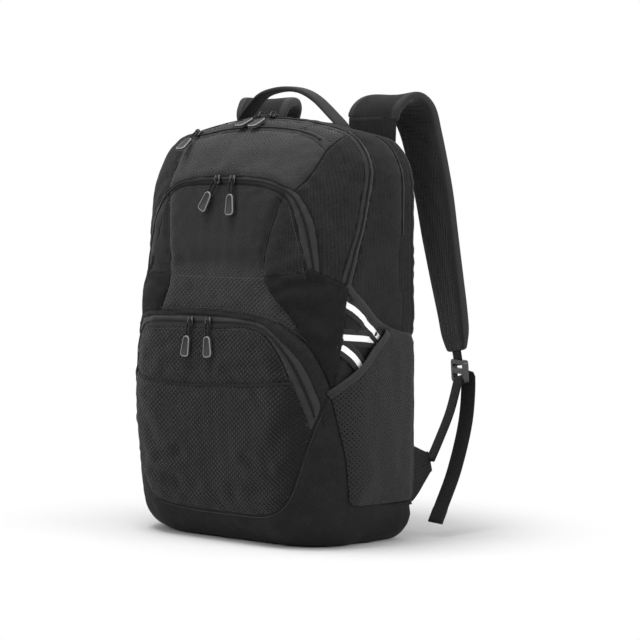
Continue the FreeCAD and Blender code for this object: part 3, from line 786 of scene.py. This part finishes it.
# the zip coils' very dark colour, also laid along plain seams as painted shade for their grooves
coil = zip_cloth("zip_coil", 0.0045)
thread = zip_cloth("stitch_thread", 0.042)
metal = hard_finish("slider_metal_coat", 0.05, 0.24, 0.9, 1.8)
grip_dark = hard_finish("grip_rubber", 0.006, 0.6)
grip_rim = hard_finish("grip_rim_rubber", 0.17, 0.36, 0.0, 1.3)
buckle = hard_finish("buckle_nylon", 0.013, 0.34)
cord_cloth = ribbed_webbing("pull_cord", 0.010)


# ---- pieces

def finished(bm, name, finishes, body, replaced=(), cloth=None, wall=0.0, levels=0):
    """Turn a mesh in millimetres into a piece in metres that rides on a body; given a blend of two
    bodies, it is only baked in place.

    cloth is the distances over the cloth, across and up; without it they are measured.
    """
    for face in bm.faces:
        face.smooth = True
    across_and_up = np.stack(cloth or measured(places_of(bm)), -1)
    bmesh.ops.scale(bm, vec=(MM, MM, MM), verts=bm.verts)
    mesh = mesh_from(bm, name)
    layer = mesh.uv_layers.new(name="cloth")
    index = np.zeros(len(mesh.loops), int)
    mesh.loops.foreach_get("vertex_index", index)
    layer.data.foreach_set("uv", (across_and_up[index] * MM).ravel())
    for finish in finishes if isinstance(finishes, list) else [finishes]:
        mesh.materials.append(finish)
    obj = in_scene(name, mesh)
    if wall:
        solid = obj.modifiers.new("wall", "SOLIDIFY")
        solid.thickness, solid.offset = wall * MM, -1
    if levels:
        round_off = obj.modifiers.new("round", "SUBSURF")
        round_off.levels = round_off.render_levels = levels
    if isinstance(body, str):
        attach(obj, body)
    else:
        first, second, low, high = body
        [v * MM for v in low]
        [v * MM for v in high]
        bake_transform(obj)
    if replaced:
        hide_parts(*replaced)
    return obj


def panel(name, finish, body, replaced=(), parts=(), lift=0.0, wall=1.6):
    """One sewn panel, cut from parts of the skin, or the part of its name; lift raises it."""
    wanted = {panel_names.index(part) for part in parts or [name]}
    bm = skin.copy()
    mark = bm.faces.layers.int["panel"]
    bmesh.ops.delete(bm, geom=[f for f in bm.faces if f[mark] not in wanted], context="FACES")
    if lift:
        p = places_of(bm)
        move_to(bm, p + outward(p) * np.reshape(lift(p) if callable(lift) else lift, (-1, 1)))
    return finished(bm, name, finish, body, replaced, wall=wall)


def zip_tape(name, part, body, *replaced):
    panel(name, tape, body, replaced, [part], wall=1.2)


def distance_to(lines, p):
    """How far places are from the nearest of some seams."""
    return np.min([line.side_of(p)[1] for line in lines], axis=0)


def wing_lift(p):
    return 0.5 + 2.6 * np.exp(-distance_to(wing_rears, p) / 12)


def net_lift(p):
    """The bottle pocket stands off the side, most in its middle and at its mouth."""
    sewn = np.minimum(distance_to(boot_sides, p), np.abs(BACK - 7 - p[:, 1]))
    return 1.3 + 7.5 * (1 - np.exp(-sewn / 26))


def frames(line, across):
    """Along, across and out directions at each place of a line."""
    along = unit(np.gradient(line, axis=0))
    out = unit(np.cross(across, along))
    return along, np.cross(along, out), out


def sleeve(line, across, wide, thick, sides=12, square=0.5, marks=None):
    """A closed band along a line, with the distances over its cloth; half sizes may vary."""
    line = np.array(line, float)
    along, across, out = frames(line, np.broadcast_to(across, line.shape))
    wide = np.broadcast_to(wide, len(line))
    thick = np.broadcast_to(thick, len(line))
    far = distances(line)
    places = [Matrix.Translation(at) @ Matrix((a * w, o * t, r)).transposed().to_4x4()
              for at, a, o, r, w, t in zip(line, across, out, along, wide, thick)]
    bm = bmesh.new()
    ring = bmesh.ops.create_circle(bm, segments=sides, radius=1)["verts"]
    for vert in ring:
        vert.co = [math.copysign(abs(value) ** square, value) for value in vert.co]
    bmesh.ops.transform(bm, matrix=places[0], verts=ring)
    edges = bm.edges[:]
    rings = [ring]
    for before, after in zip(places, places[1:]):
        made = bmesh.ops.extrude_edge_only(bm, edges=edges)["geom"]
        ring = [v for v in made if isinstance(v, bmesh.types.BMVert)]
        edges = [e for e in made if isinstance(e, bmesh.types.BMEdge)
                 and all(v in ring for v in e.verts)]
        bmesh.ops.transform(bm, matrix=after @ before.inverted(), verts=ring)
        rings.append(ring)
    where = {}
    for place, ring, w, reach in zip(places, rings, wide, far):
        back = place.inverted()
        for vert in ring:
            local = back @ vert.co
            where[vert] = (local.x * w, reach, local.x, local.y)
    if marks:
        for face in bm.faces:
            middle = np.mean([where[v] for v in face.verts], axis=0)
            face.material_index = marks(middle[2], middle[3])
    bmesh.ops.holes_fill(bm, edges=[e for e in bm.edges if e.is_boundary], sides=0)
    bmesh.ops.recalc_face_normals(bm, faces=bm.faces)
    table = np.array([where[v][:2] for v in bm.verts])
    return bm, (table[:, 0], table[:, 1])


def band_piece(name, line, across, wide, thick, finish, body, slot, replaced=(), levels=0,
               **shape):
    bm, cloth = sleeve(line, across, wide, thick, **shape)
    return finished(bm, name, finish, body, replaced, cloth=cloth, levels=levels)


def over_form(points, lift):
    """A smooth line over the form, with the direction across it, raised by lift."""
    seam = flat_seam(points)
    return shaped(seam.places) + seam.out * lift, seam.beside


def along_seam(name, seam, here, wide, lift, body, slot):
    """A thin dark cord of cloth pressed along the part of a seam that here picks; on a zip it is
    the coil, along plain seams it is painted shade for the seam's groove.
    """
    line = smooth_line(shaped(seam.places[here])[::3] + seam.out[here][::3] * lift, 2.5)
    across = seam.beside[[seam.tree.find(at)[1] for at in line]]
    band_piece(name, line, across, wide, wide / 2, coil, body, slot, square=0.8)


def stitches(name, line, out, body):
    """A row of short threads lying along a line, standing a little out of the cloth."""
    line = smooth_line(line, 3.4)
    nearest = np.linspace(0, len(out) - 1, len(line)).round().astype(int)
    along, side, up = frames(line, np.cross(out[nearest], np.gradient(line, axis=0)))
    bm = bmesh.new()
    for place, *axes in zip(line, along, side, up):
        turn = Matrix(np.stack(axes, -1)).to_4x4()
        bmesh.ops.transform(bm, matrix=Matrix.Translation(place) @ turn,
                            verts=add_cube(bm, (2.3, 0.6, 0.5)))
    bmesh.ops.recalc_face_normals(bm, faces=bm.faces)
    finished(bm, name, thread, body)


def stitched(name, seam, toward, body, low=0):
    """Stitches beside a seam, on the side of the cloth place toward, above the height low."""
    side, _ = seam.side_of(laid([toward]))
    row = seam.shifted(math.copysign(3.2, side[0]))
    here = row.places[:, 2] > low
    stitches(name, (shaped(row.places[here]) + row.out[here] * 0.35)[::4], row.out[here], body)


def evaluated(obj):
    bpy.context.view_layer.update()
    return bpy.data.meshes.new_from_object(
        obj.evaluated_get(bpy.context.evaluated_depsgraph_get()))


def softened(node, finish, body, size, padding=None, tucked=False):
    """The sewn, filled form of a CAD part: its edges round off and its faces ripple.

    padding is a pressure and the most it may move the cloth; tucked keeps it inside the bag.
    """
    source = bpy.data.meshes.new_from_object(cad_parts[node])
    obj = in_scene("soft_form", source)
    bm = bmesh.new()
    bm.from_mesh(source)
    bmesh.ops.remove_doubles(bm, verts=bm.verts, dist=1e-6)
    bm.to_mesh(source)
    bm.free()
    remesh = obj.modifiers.new("remesh", "REMESH")
    remesh.mode, remesh.voxel_size = "VOXEL", size * MM
    soft = evaluated(obj)
    if padding:
        soft = filled(obj, soft, *padding)
    bpy.data.objects.remove(obj)
    bm = bmesh.new()
    bm.from_mesh(soft)
    bmesh.ops.scale(bm, vec=(1 / MM,) * 3, verts=bm.verts)
    for _ in range(3):
        bmesh.ops.smooth_vert(bm, verts=bm.verts, factor=0.5, use_axis_x=True, use_axis_y=True,
                              use_axis_z=True)
    bm.normal_update()
    p = places_of(bm)
    ripple = 0.6 * rumple(p, 40, 11) + 0.3 * rumple(p, 15, 12)
    for vert, move in zip(bm.verts, ripple):
        vert.co += vert.normal * move
    if tucked:
        for _ in range(3):
            p = places_of(bm)
            move_to(bm, p - outward(p) * np.maximum(gap(p) + INSIDE_GAP, 0)[:, None])
    return finished(bm, f"{node}_cloth", finish, body, [node], levels=1)


def filled(obj, soft, pressure, cap):
    """Blow the cloth up like a filled pad, no point moving more than cap millimetres."""
    obj.modifiers.clear()
    obj.data = soft
    start = np.array([v.co for v in soft.vertices])
    cloth = obj.modifiers.new("cloth", "CLOTH")
    cloth.settings.use_pressure = True
    cloth.settings.uniform_pressure_force = pressure
    cloth.settings.effector_weights.gravity = 0
    cloth.settings.quality = 4
    for number in range(1, 21):
        scene.frame_set(number)
    moved = evaluated(obj)
    shift = np.array([v.co for v in moved.vertices]) - start
    far = np.maximum(np.linalg.norm(shift, axis=1, keepdims=True), 1e-9)
    place = start + shift * np.minimum(1, cap * MM / far)
    moved.vertices.foreach_set("co", place.ravel())
    scene.frame_set(1)
    return moved


TIP = ("root", "lid", (0, 0, 272), (0, 0, 306))
WING_TIP = ("root", "lid", (0, 0, 262), (0, 0, 300))
FLAP_TIP = ("root", "lower_flap", (0, 0, 112), (0, 0, 146))
UPPER_TIP = ("lid", "upper_flap", (0, 0, 297), (0, 0, 322))
panel("boot", boot_cloth, "root", ["base_boot"], wall=2)
panel("slip_pocket", coarse, FLAP_TIP,
      ["slip_pocket_panel", "lower_front_panel"], lift=0.7)
panel("lower_flap", coarse, FLAP_TIP, ["lower_pocket_flap"])
zip_tape("lower_zip_inner_tape", "lower_tape_in", FLAP_TIP, "lower_pocket_zip")
zip_tape("lower_zip_outer_tape", "lower_tape_out", "root")
panel("cover_band", shell, "root", ["lower_pocket_gusset"], lift=0.5)
panel("front_strip", fading, TIP)
for name in ("left", "right"):
    panel(f"wing_{name}", wing_cloth, WING_TIP,
          ["wing_panels"] if name == "left" else (), lift=wing_lift)
    panel(f"side_wall_{name}", shell, "root",
          parts=[f"side_{name}", f"pocket_{name}"])
    pocket = panel(f"mesh_pocket_{name}", net, "root", [f"side_pocket_mesh_{name}"],
                   [f"pocket_{name}"], net_lift, wall=0)
    panel(f"flap_side_{name}", smooth_shell, UPPER_TIP, parts=[f"flap_{name}"])
    panel(f"lid_side_{name}", smooth_shell, "lid", [f"front_gusset_{name}"],
          [f"lid_{name}"])
panel("upper_flap", fading, UPPER_TIP, ["upper_pocket_flap"])
zip_tape("upper_zip_inner_tape", "upper_tape_in", UPPER_TIP, "upper_pocket_zip")
zip_tape("upper_zip_outer_tape", "upper_tape_out", "lid", "upper_pocket_gusset")
panel("top_panel", fine, "lid", ["top_pocket_panel"])
zip_tape("top_zip_lower_tape", "top_tape_out", "lid", "top_pocket_zip")
zip_tape("top_zip_upper_tape", "top_tape_in", "lid")
panel("cap_panel", fine, "lid", parts=["cap"])
zip_tape("main_zip_front_tape", "main_tape_front", "lid", "main_zip_front")
zip_tape("main_zip_rear_tape", "main_tape_rear", "root", "main_zip_rear")
panel("rear_gusset", smooth_shell, "root", ["rear_gusset"])
zip_tape("laptop_zip_tape", "laptop_tape", "root", "laptop_zip")
panel("laptop_gusset", smooth_shell, "root", ["laptop_gusset"])
panel("back_panel", pad_mesh, "root", ["back_panel"], parts=["back"], wall=2)


# ---- trim on the sides

SIDES = (("left", -1), ("right", 1))
WEBBINGS = ([(167, 275), (175, 269), (187, 260), (200, 248), (213, 237), (218, 232)],
            [(163, 236), (170, 235), (190, 233), (209, 230.5), (215, 230)],
            [(160, 227), (166, 223), (176, 214), (183, 205), (187, 198)])
for name, sign in SIDES:
    for number, (run, lift) in enumerate(zip(WEBBINGS, (0.4, 0.2, 1.3)), 1):
        line, across = over_form([(sign * u, v) for u, v in run], lift)
        band_piece(f"side_webbing_{number}_{name}", line, across, 9.5, 0.6, striped, "root",
                   "webbing", ["side_webbings"] if number == 1 else (), square=0.35)
    line, across = over_form([(sign * u, v) for u, v in BINDING], 1.2)
    band_piece(f"pocket_binding_{name}", line, across, 4.6, 1.9, edge_tape, "root", "binding",
               ["side_pocket_bindings"], square=0.8)
    mouth = [(sign * u, v - 3) for u, v in MOUTH]
    line, across = over_form(mouth, 0)
    line = line + outward(line) * (net_lift(line) + 0.4)[:, None]
    band_piece(f"mouth_hem_{name}", line, across, 4.6, 0.9, edge_tape, "root", "binding",
               square=0.5)
    for row, place in ((2.6, "inner"), (-2.6, "outer")):
        seam = flat_seam(mouth).shifted(row)
        line = shaped(seam.places) + seam.out * (net_lift(seam.places) + 1.4)[:, None]
        stitches(f"mouth_stitches_{name}_{place}", line[::4], seam.out, "root")
piping = level_round(BACK - 5, 40)
band_piece("back_piping", shaped(piping) + outward(piping) * 1.0, outward(piping), 2.0, 2.0,
           edge_tape, "root", "binding", square=1.0)
line, across = over_form(SLIP_EDGE[1:-1] + [(113, 185.5)], 0.9)
band_piece("slip_hem", line, across, 1.6, 0.6, smooth_shell, "lower_flap",
           "coarse_texture_fabric", square=0.8)


# ---- zip coils, dark lines of painted shade along plain seams, and rows of stitches

open_zip = lower_mid.places[:, 2] > height_of(BOOT_FRONT, measured(lower_mid.places)[0]) - 4
top_run = (top_mid.places[:, 0] < 0) | (top_mid.places[:, 2] > 448)
for name, seam, body, here in (
        ("lower_zip", lower_mid, FLAP_TIP, open_zip), ("main_zip", main_mid, "lid", slice(None)),
        ("upper_zip", upper_mid, UPPER_TIP, slice(None)), ("top_zip", top_mid, "lid", top_run),
        ("laptop_zip", laptop_mid, "root", laptop_mid.places[:, 2] > LAPTOP_FOOT)):
    along_seam(f"{name}_coil", seam, here, 1.3, 0.9, body, "zip_tape")
# dark lines along plain seams, in the zip coil's colour: painted shade standing for the shadowed
# grooves
for name, seam, body, low in (
        ("lid_side", side_seam, "lid", 0), ("lid_corner", left_seam, "lid", 0),
        ("boot_front", boot_front, "root", 0), ("flap_left", front_seams[0], UPPER_TIP, 306),
        ("flap_right", front_seams[1], UPPER_TIP, 306), ("upper_tape", upper_in, UPPER_TIP, 0),
        ("lid_tape", upper_out, "lid", 0), ("main_tape", main_front, "lid", 0)):
    along_seam(f"{name}_seam", seam, seam.places[:, 2] > low, 1.0, 0.6, body, "smooth_fabric")
stitched("upper_flap_stitches", upper_in, (0, 330), UPPER_TIP)
stitched("lower_flap_stitches", lower_in, (0, 150), "lower_flap", 186)
stitched("lower_band_stitches", band_out, (0, 320), TIP)
stitched("boot_stitches", boot_front, (0, 20), "root")
stitched("lid_side_stitches", side_seam, (150, 380), "lid")


# ---- handle and straps

HANDLE = [(-79, 40, 470), (-78, 41, 480), (-64, 41, 494), (-48, 41, 507), (-27, 41, 512.5),
          (-5, 41, 513.5), (17, 41, 510), (38, 41, 500), (60, 41, 483), (75, 41, 470),
          (79, 40, 462)]
line = smooth_line(HANDLE)
across = np.broadcast_to((0, 1, 0), line.shape)
grown = 1 - ease((np.abs(line[:, 0]) - 30) / 40)
band_piece("carry_handle_band", line, across, 12 - 2 * grown, 2.0 + 1.2 * grown, strap_web,
           "handle", "webbing", ["carry_handle"], levels=1, square=0.55)

# rows: a centre x, y, z of the right strap, and the slope of its width, in y over x
STRAP = [(88, 79, 476, 0), (89, 83, 487, 0), (93, 93, 496, 0), (100, 108, 500, -0.05),
         (108, 121, 493, -0.1), (115, 130, 470, -0.12), (127, 140, 400, -0.2),
         (134, 145, 345, -0.27), (141, 148, 300, -0.35), (150, 150, 250, -0.45),
         (156, 150, 210, -0.5)]
TAB = [(155, 149.5, 214, -0.5), (156.8, 150, 204, -0.5), (158.2, 150.5, 194, -0.5)]
LOWER_WEB = [(159.5, 149, 182, -0.5), (160, 145, 172, -0.5), (158, 134, 140, -0.5),
             (154, 118, 107, -0.5), (151, 107, 86, -0.5)]
TAIL = [(162, 156, 188, -0.3), (164, 161, 180, -0.1), (165, 155, 130, -0.1), (164, 136, 75, -0.1),
        (161.5, 115, 34, -0.1), (160, 106, 16, -0.1)]


def hung(stations, sign):
    """The line, directions across and distances of a strap, on the left or the right."""
    table = np.array(stations, float)
    table[:, (0, 3)] *= sign
    centres, lean = table[:, :3], table[:, 3]
    line = smooth_line(centres, 5)
    far = distances(line)
    knots = [far[np.argmin(np.linalg.norm(line - at, axis=1))] for at in centres]
    across = np.zeros_like(line)
    across[:, 0], across[:, 1] = 1, np.interp(far, knots, lean)
    return line, across, far


def strap_face(x, y):
    """Bound edges, smooth outside, spacer mesh against the wearer."""
    if abs(x) > 0.8:
        return 2
    return 0 if y > 0 else 1


for name, sign in SIDES:
    line, across, far = hung(STRAP, sign)
    ends = np.minimum(far, far[-1] - far)
    wide = 32 + 7 * (1 - ease((far - 40) / 60)) - 9 * np.exp(-(far[-1] - far) / 14)
    thick = 3.2 + 3.2 * ease(ends / 26)
    bm, cloth = sleeve(line, across, wide, thick, sides=32, square=0.45, marks=strap_face)
    pad = finished(bm, f"shoulder_strap_{name}", [smooth_shell, pad_mesh, edge_tape],
                   f"strap_{name}", [f"strap_pad_{name}"], cloth=cloth, levels=1)
    for piece, stations, thick, node in (("strap_end_tab", TAB, 1.0, "strap_tab"),
                                         ("lower_strap", LOWER_WEB, 0.8, "lower_webbing")):
        line, across, _ = hung(stations, sign)
        band_piece(f"{piece}_{name}", line, across, 11.5, thick, strap_web, f"strap_{name}",
                   "webbing", [f"{node}_{name}"], square=0.35)
    line, across, far = hung(TAIL, sign)
    folded = 0.8 + 0.9 * ease((far - far[-1] + 18) / 2)
    band_piece(f"strap_tail_{name}", line, across, 11.5, folded, strap_web, f"tail_{name}",
               "webbing", [f"webbing_tail_{name}"], square=0.35)
    line = smooth_line([(sign * x, y, z) for x, y, z in
                        ((146, 56, 77), (148, 74, 78), (149.5, 92, 82), (151, 107, 86))], 3)
    reach = np.interp(line[:, 1], (56, 74, 104, 107), (38, 36, 13, 12))
    band_piece(f"anchor_wing_{name}_cloth", line, (0, 0, 1), reach, 1.3, smooth_shell, "root",
               "smooth_fabric", [f"anchor_wing_{name}"], square=0.4)
    line = smooth_line([(sign * 88, 72, 420), (sign * 88, 77, 445), (sign * 88, 79, 480)], 4)
    band_piece(f"strap_root_{name}", line, (1, 0, 0), 36, 2.6, smooth_shell, "root",
               "smooth_fabric", ["sewn_anchors"], square=0.45)
    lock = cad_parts[f"ladder_lock_{name}"].data.materials
    lock.clear()
    lock.append(buckle)
    cushion = softened(f"back_pad_{name}", pad_mesh, "root", size=5.0,
                       padding=(4, 5))
for node, body in (("inner_front_wall", "root"), ("laptop_divider", "root"),
                   ("upper_front_wall", "lid")):
    softened(node, lining, body, size=4.0, tucked=True)


# ---- zip sliders and pulls

ZIP_LINES = {"lower": lower_mid, "upper": upper_mid, "top": top_mid, "main": main_mid,
             "laptop": laptop_mid}
# how far each pull hangs aside, and how far it lies back from upright, in degrees
PULL_LEAN = {"upper_left": (28, 0), "upper_right": (-3, 0), "lower_left": (4, 0),
             "lower_right": (-8, 0), "top": (-8, 0), "main_left": (2, 12), "main_right": (-1, 13)}
HANG, BAR = 17, -4.8    # how long a pull's cord is, and how far out of the zip its bail is


def standing(name, node):
    """Where a slider stands on its zip: out of the cloth along -Y of its own frame."""
    seam = ZIP_LINES[name.split("_")[0]]
    low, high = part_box(node)
    middle = np.array((low + high) / 2) / MM
    nearest = seam.tree.find(middle)[1]
    at = shaped(seam.places[nearest][None])[0] + seam.out[nearest]
    out = seam.out[nearest]
    if name == "laptop":
        turn = Matrix.Rotation(math.radians(-90), 4, "Z")
    else:
        turn = Matrix.Rotation(math.atan2(-out[2], -out[1]), 4, "X")
    return Matrix.Translation(at) @ turn


def ring_loop(points, radius):
    """A thin round loop or bar through a few points, as a closed mesh."""
    line = smooth_line(points, 0.8)
    side = np.broadcast_to((0.02, 1, 0.03), line.shape)
    return sleeve(line, side, radius, radius, sides=6, square=1.0)[0]


def joined(target, bm):
    """Add one small mesh to another."""
    part = mesh_from(bm, "part")
    target.from_mesh(part)
    bpy.data.meshes.remove(part)


def bevelled(bm, edges, offset, segments=2):
    bmesh.ops.bevel(bm, geom=edges, offset=offset, segments=segments, profile=0.5,
                    affect="EDGES", material=-1)


def block(size, place, round_off):
    bm = bmesh.new()
    add_cube(bm, size)
    bevelled(bm, bm.edges[:], round_off)
    bmesh.ops.translate(bm, vec=place, verts=bm.verts)
    return bm


def grip_mesh():
    """The moulded grip: tapered, rounded, with a paler rim round a dark, slightly sunk face."""
    bm = bmesh.new()
    for vert in add_cube(bm, (13.5, 3.6, 24)):
        if vert.co.z > 0:
            vert.co.x *= 0.7
    upright = [e for e in bm.edges if abs(e.verts[0].co.y - e.verts[1].co.y) > 1]
    bevelled(bm, upright, 4.5, 6)
    faces = [f for f in bm.faces if abs(f.normal.y) > 0.9]
    bevelled(bm, list({e for f in faces for e in f.edges}), 0.8)
    faces = [f for f in bm.faces if abs(f.normal.y) > 0.99]
    for face in bm.faces:
        face.material_index = 1
    bmesh.ops.inset_individual(bm, faces=faces, thickness=0.45, depth=0)
    for face in bm.faces:
        if 0.3 < abs(face.normal.y) and face not in faces:
            face.material_index = 2
    bmesh.ops.inset_individual(bm, faces=faces, thickness=0.6, depth=-0.5)
    for face in faces:
        face.material_index = 1
    bmesh.ops.translate(bm, vec=(0, BAR, -HANG - 12), verts=bm.verts)
    return bm


def slider_and_pull(name):
    """A slider with its bail, and the pull on it: a cord loop and a grip."""
    stand = standing(name, f"zip_slider_{name}")
    body = bmesh.new()
    joined(body, block((8, 3, 10), (0, -2, 0), 0.9))
    joined(body, block((6, 2, 3), (0, -3.4, -4.2), 0.6))
    joined(body, ring_loop([(0, -3, -4), (0, -5, -3.6), (0, -6.6, -1.5), (0, -6.6, 1.5),
                            (0, -5, 3.6), (0, -3, 4)], 0.75))
    bmesh.ops.transform(body, matrix=stand, verts=body.verts)
    finished(body, f"slider_{name}", metal, f"slider_{name}",
             [f"zip_slider_{name}"])
    pull = bmesh.new()
    for side in (-1, 1):
        joined(pull, ring_loop([(0, -5.0, 0.9), (side * 1.4, -5.0, 0.2),
                                (side * 2.3, BAR, -3), (side * 2.6, BAR, -9),
                                (side * 2.2, BAR, -HANG - 1)], 0.95))
    joined(pull, block((2.0, 2.0, 2.0), (0, -5.0, 0.9), 0.9))
    joined(pull, grip_mesh())
    aside, back = PULL_LEAN.get(name, (0, 0))
    eye_bar = Matrix.Translation((0, BAR, 0))
    lean = (Matrix.Rotation(math.radians(aside), 4, "Y")
            @ Matrix.Rotation(math.radians(back), 4, "X"))
    bmesh.ops.transform(pull, matrix=stand @ eye_bar @ lean @ eye_bar.inverted(),
                        verts=pull.verts)
    finished(pull, f"pull_{name}", [cord_cloth, grip_dark, grip_rim], f"pull_{name}",
             [f"zip_pull_{name}"])


for name in ("lower_left", "lower_right", "upper_left", "upper_right", "top", "main_left",
             "main_right", "laptop"):
    slider_and_pull(name)


# ---- floor and light

def seen_directly(finish):
    """1 where the camera, a reflection or a clear thing sees the surface, 0 for other light."""
    camera, glossy, through = (finish.node("LightPath", None, None, ray)
                               for ray in (0, 3, 6))
    return camera.math("MAXIMUM", glossy.math("MAXIMUM", through))


floor_bm = bmesh.new()
bmesh.ops.create_grid(floor_bm, x_segments=1, y_segments=1, size=8)
floor = in_scene("floor", mesh_from(floor_bm, "floor"))
floor_finish = Finish("studio_floor")
speck = floor_finish.grain(0.4)
paint = floor_finish.node("BsdfDiffuse", None, {
    "Color": floor_finish.mix(speck, grey(0.66), grey(0.68))})
backdrop = floor_finish.node("Emission", None, {"Color": grey(1), "Strength": 1.0})
distance = floor_finish.node("VectorMath", {"operation": "LENGTH"},
                             {0: floor_finish.object_point()}, 1)
floor_finish.node("OutputMaterial", None, {0: floor_finish.node(
    "MixShader", None,
    {0: seen_directly(floor_finish) * distance.band(0.2, 0.42), 1: paint, 2: backdrop})})
floor.data.materials.append(floor_finish.material)

world = bpy.data.worlds.new("studio")
scene.world = world
sky = Finish("sky", world)
sky.node("OutputWorld", None, {0: sky.node("Background", None, {
    "Color": grey(1), "Strength": seen_directly(sky) * 0.25 + 0.75})})


def lamp(name, place, target, size, power):
    light = bpy.data.lights.new(name, "AREA")
    light.shape, light.size, light.energy = "SQUARE", size, power
    obj = in_scene(name, light)
    obj.location = place
    obj.rotation_euler = (Vector(target) - Vector(place)).to_track_quat("-Z", "Y").to_euler()


lamp("overhead", (-0.2, -0.5, 2.2), (0, 0, 0.1), 1.1, 34)
lamp("key", (-0.6, -2.0, 1.2), (0, 0, 0.25), 0.9, 11)
lamp("side", (2.2, 0.3, 1.0), (0, 0, 0.25), 0.9, 24)
scene.view_settings.view_transform = "Standard"
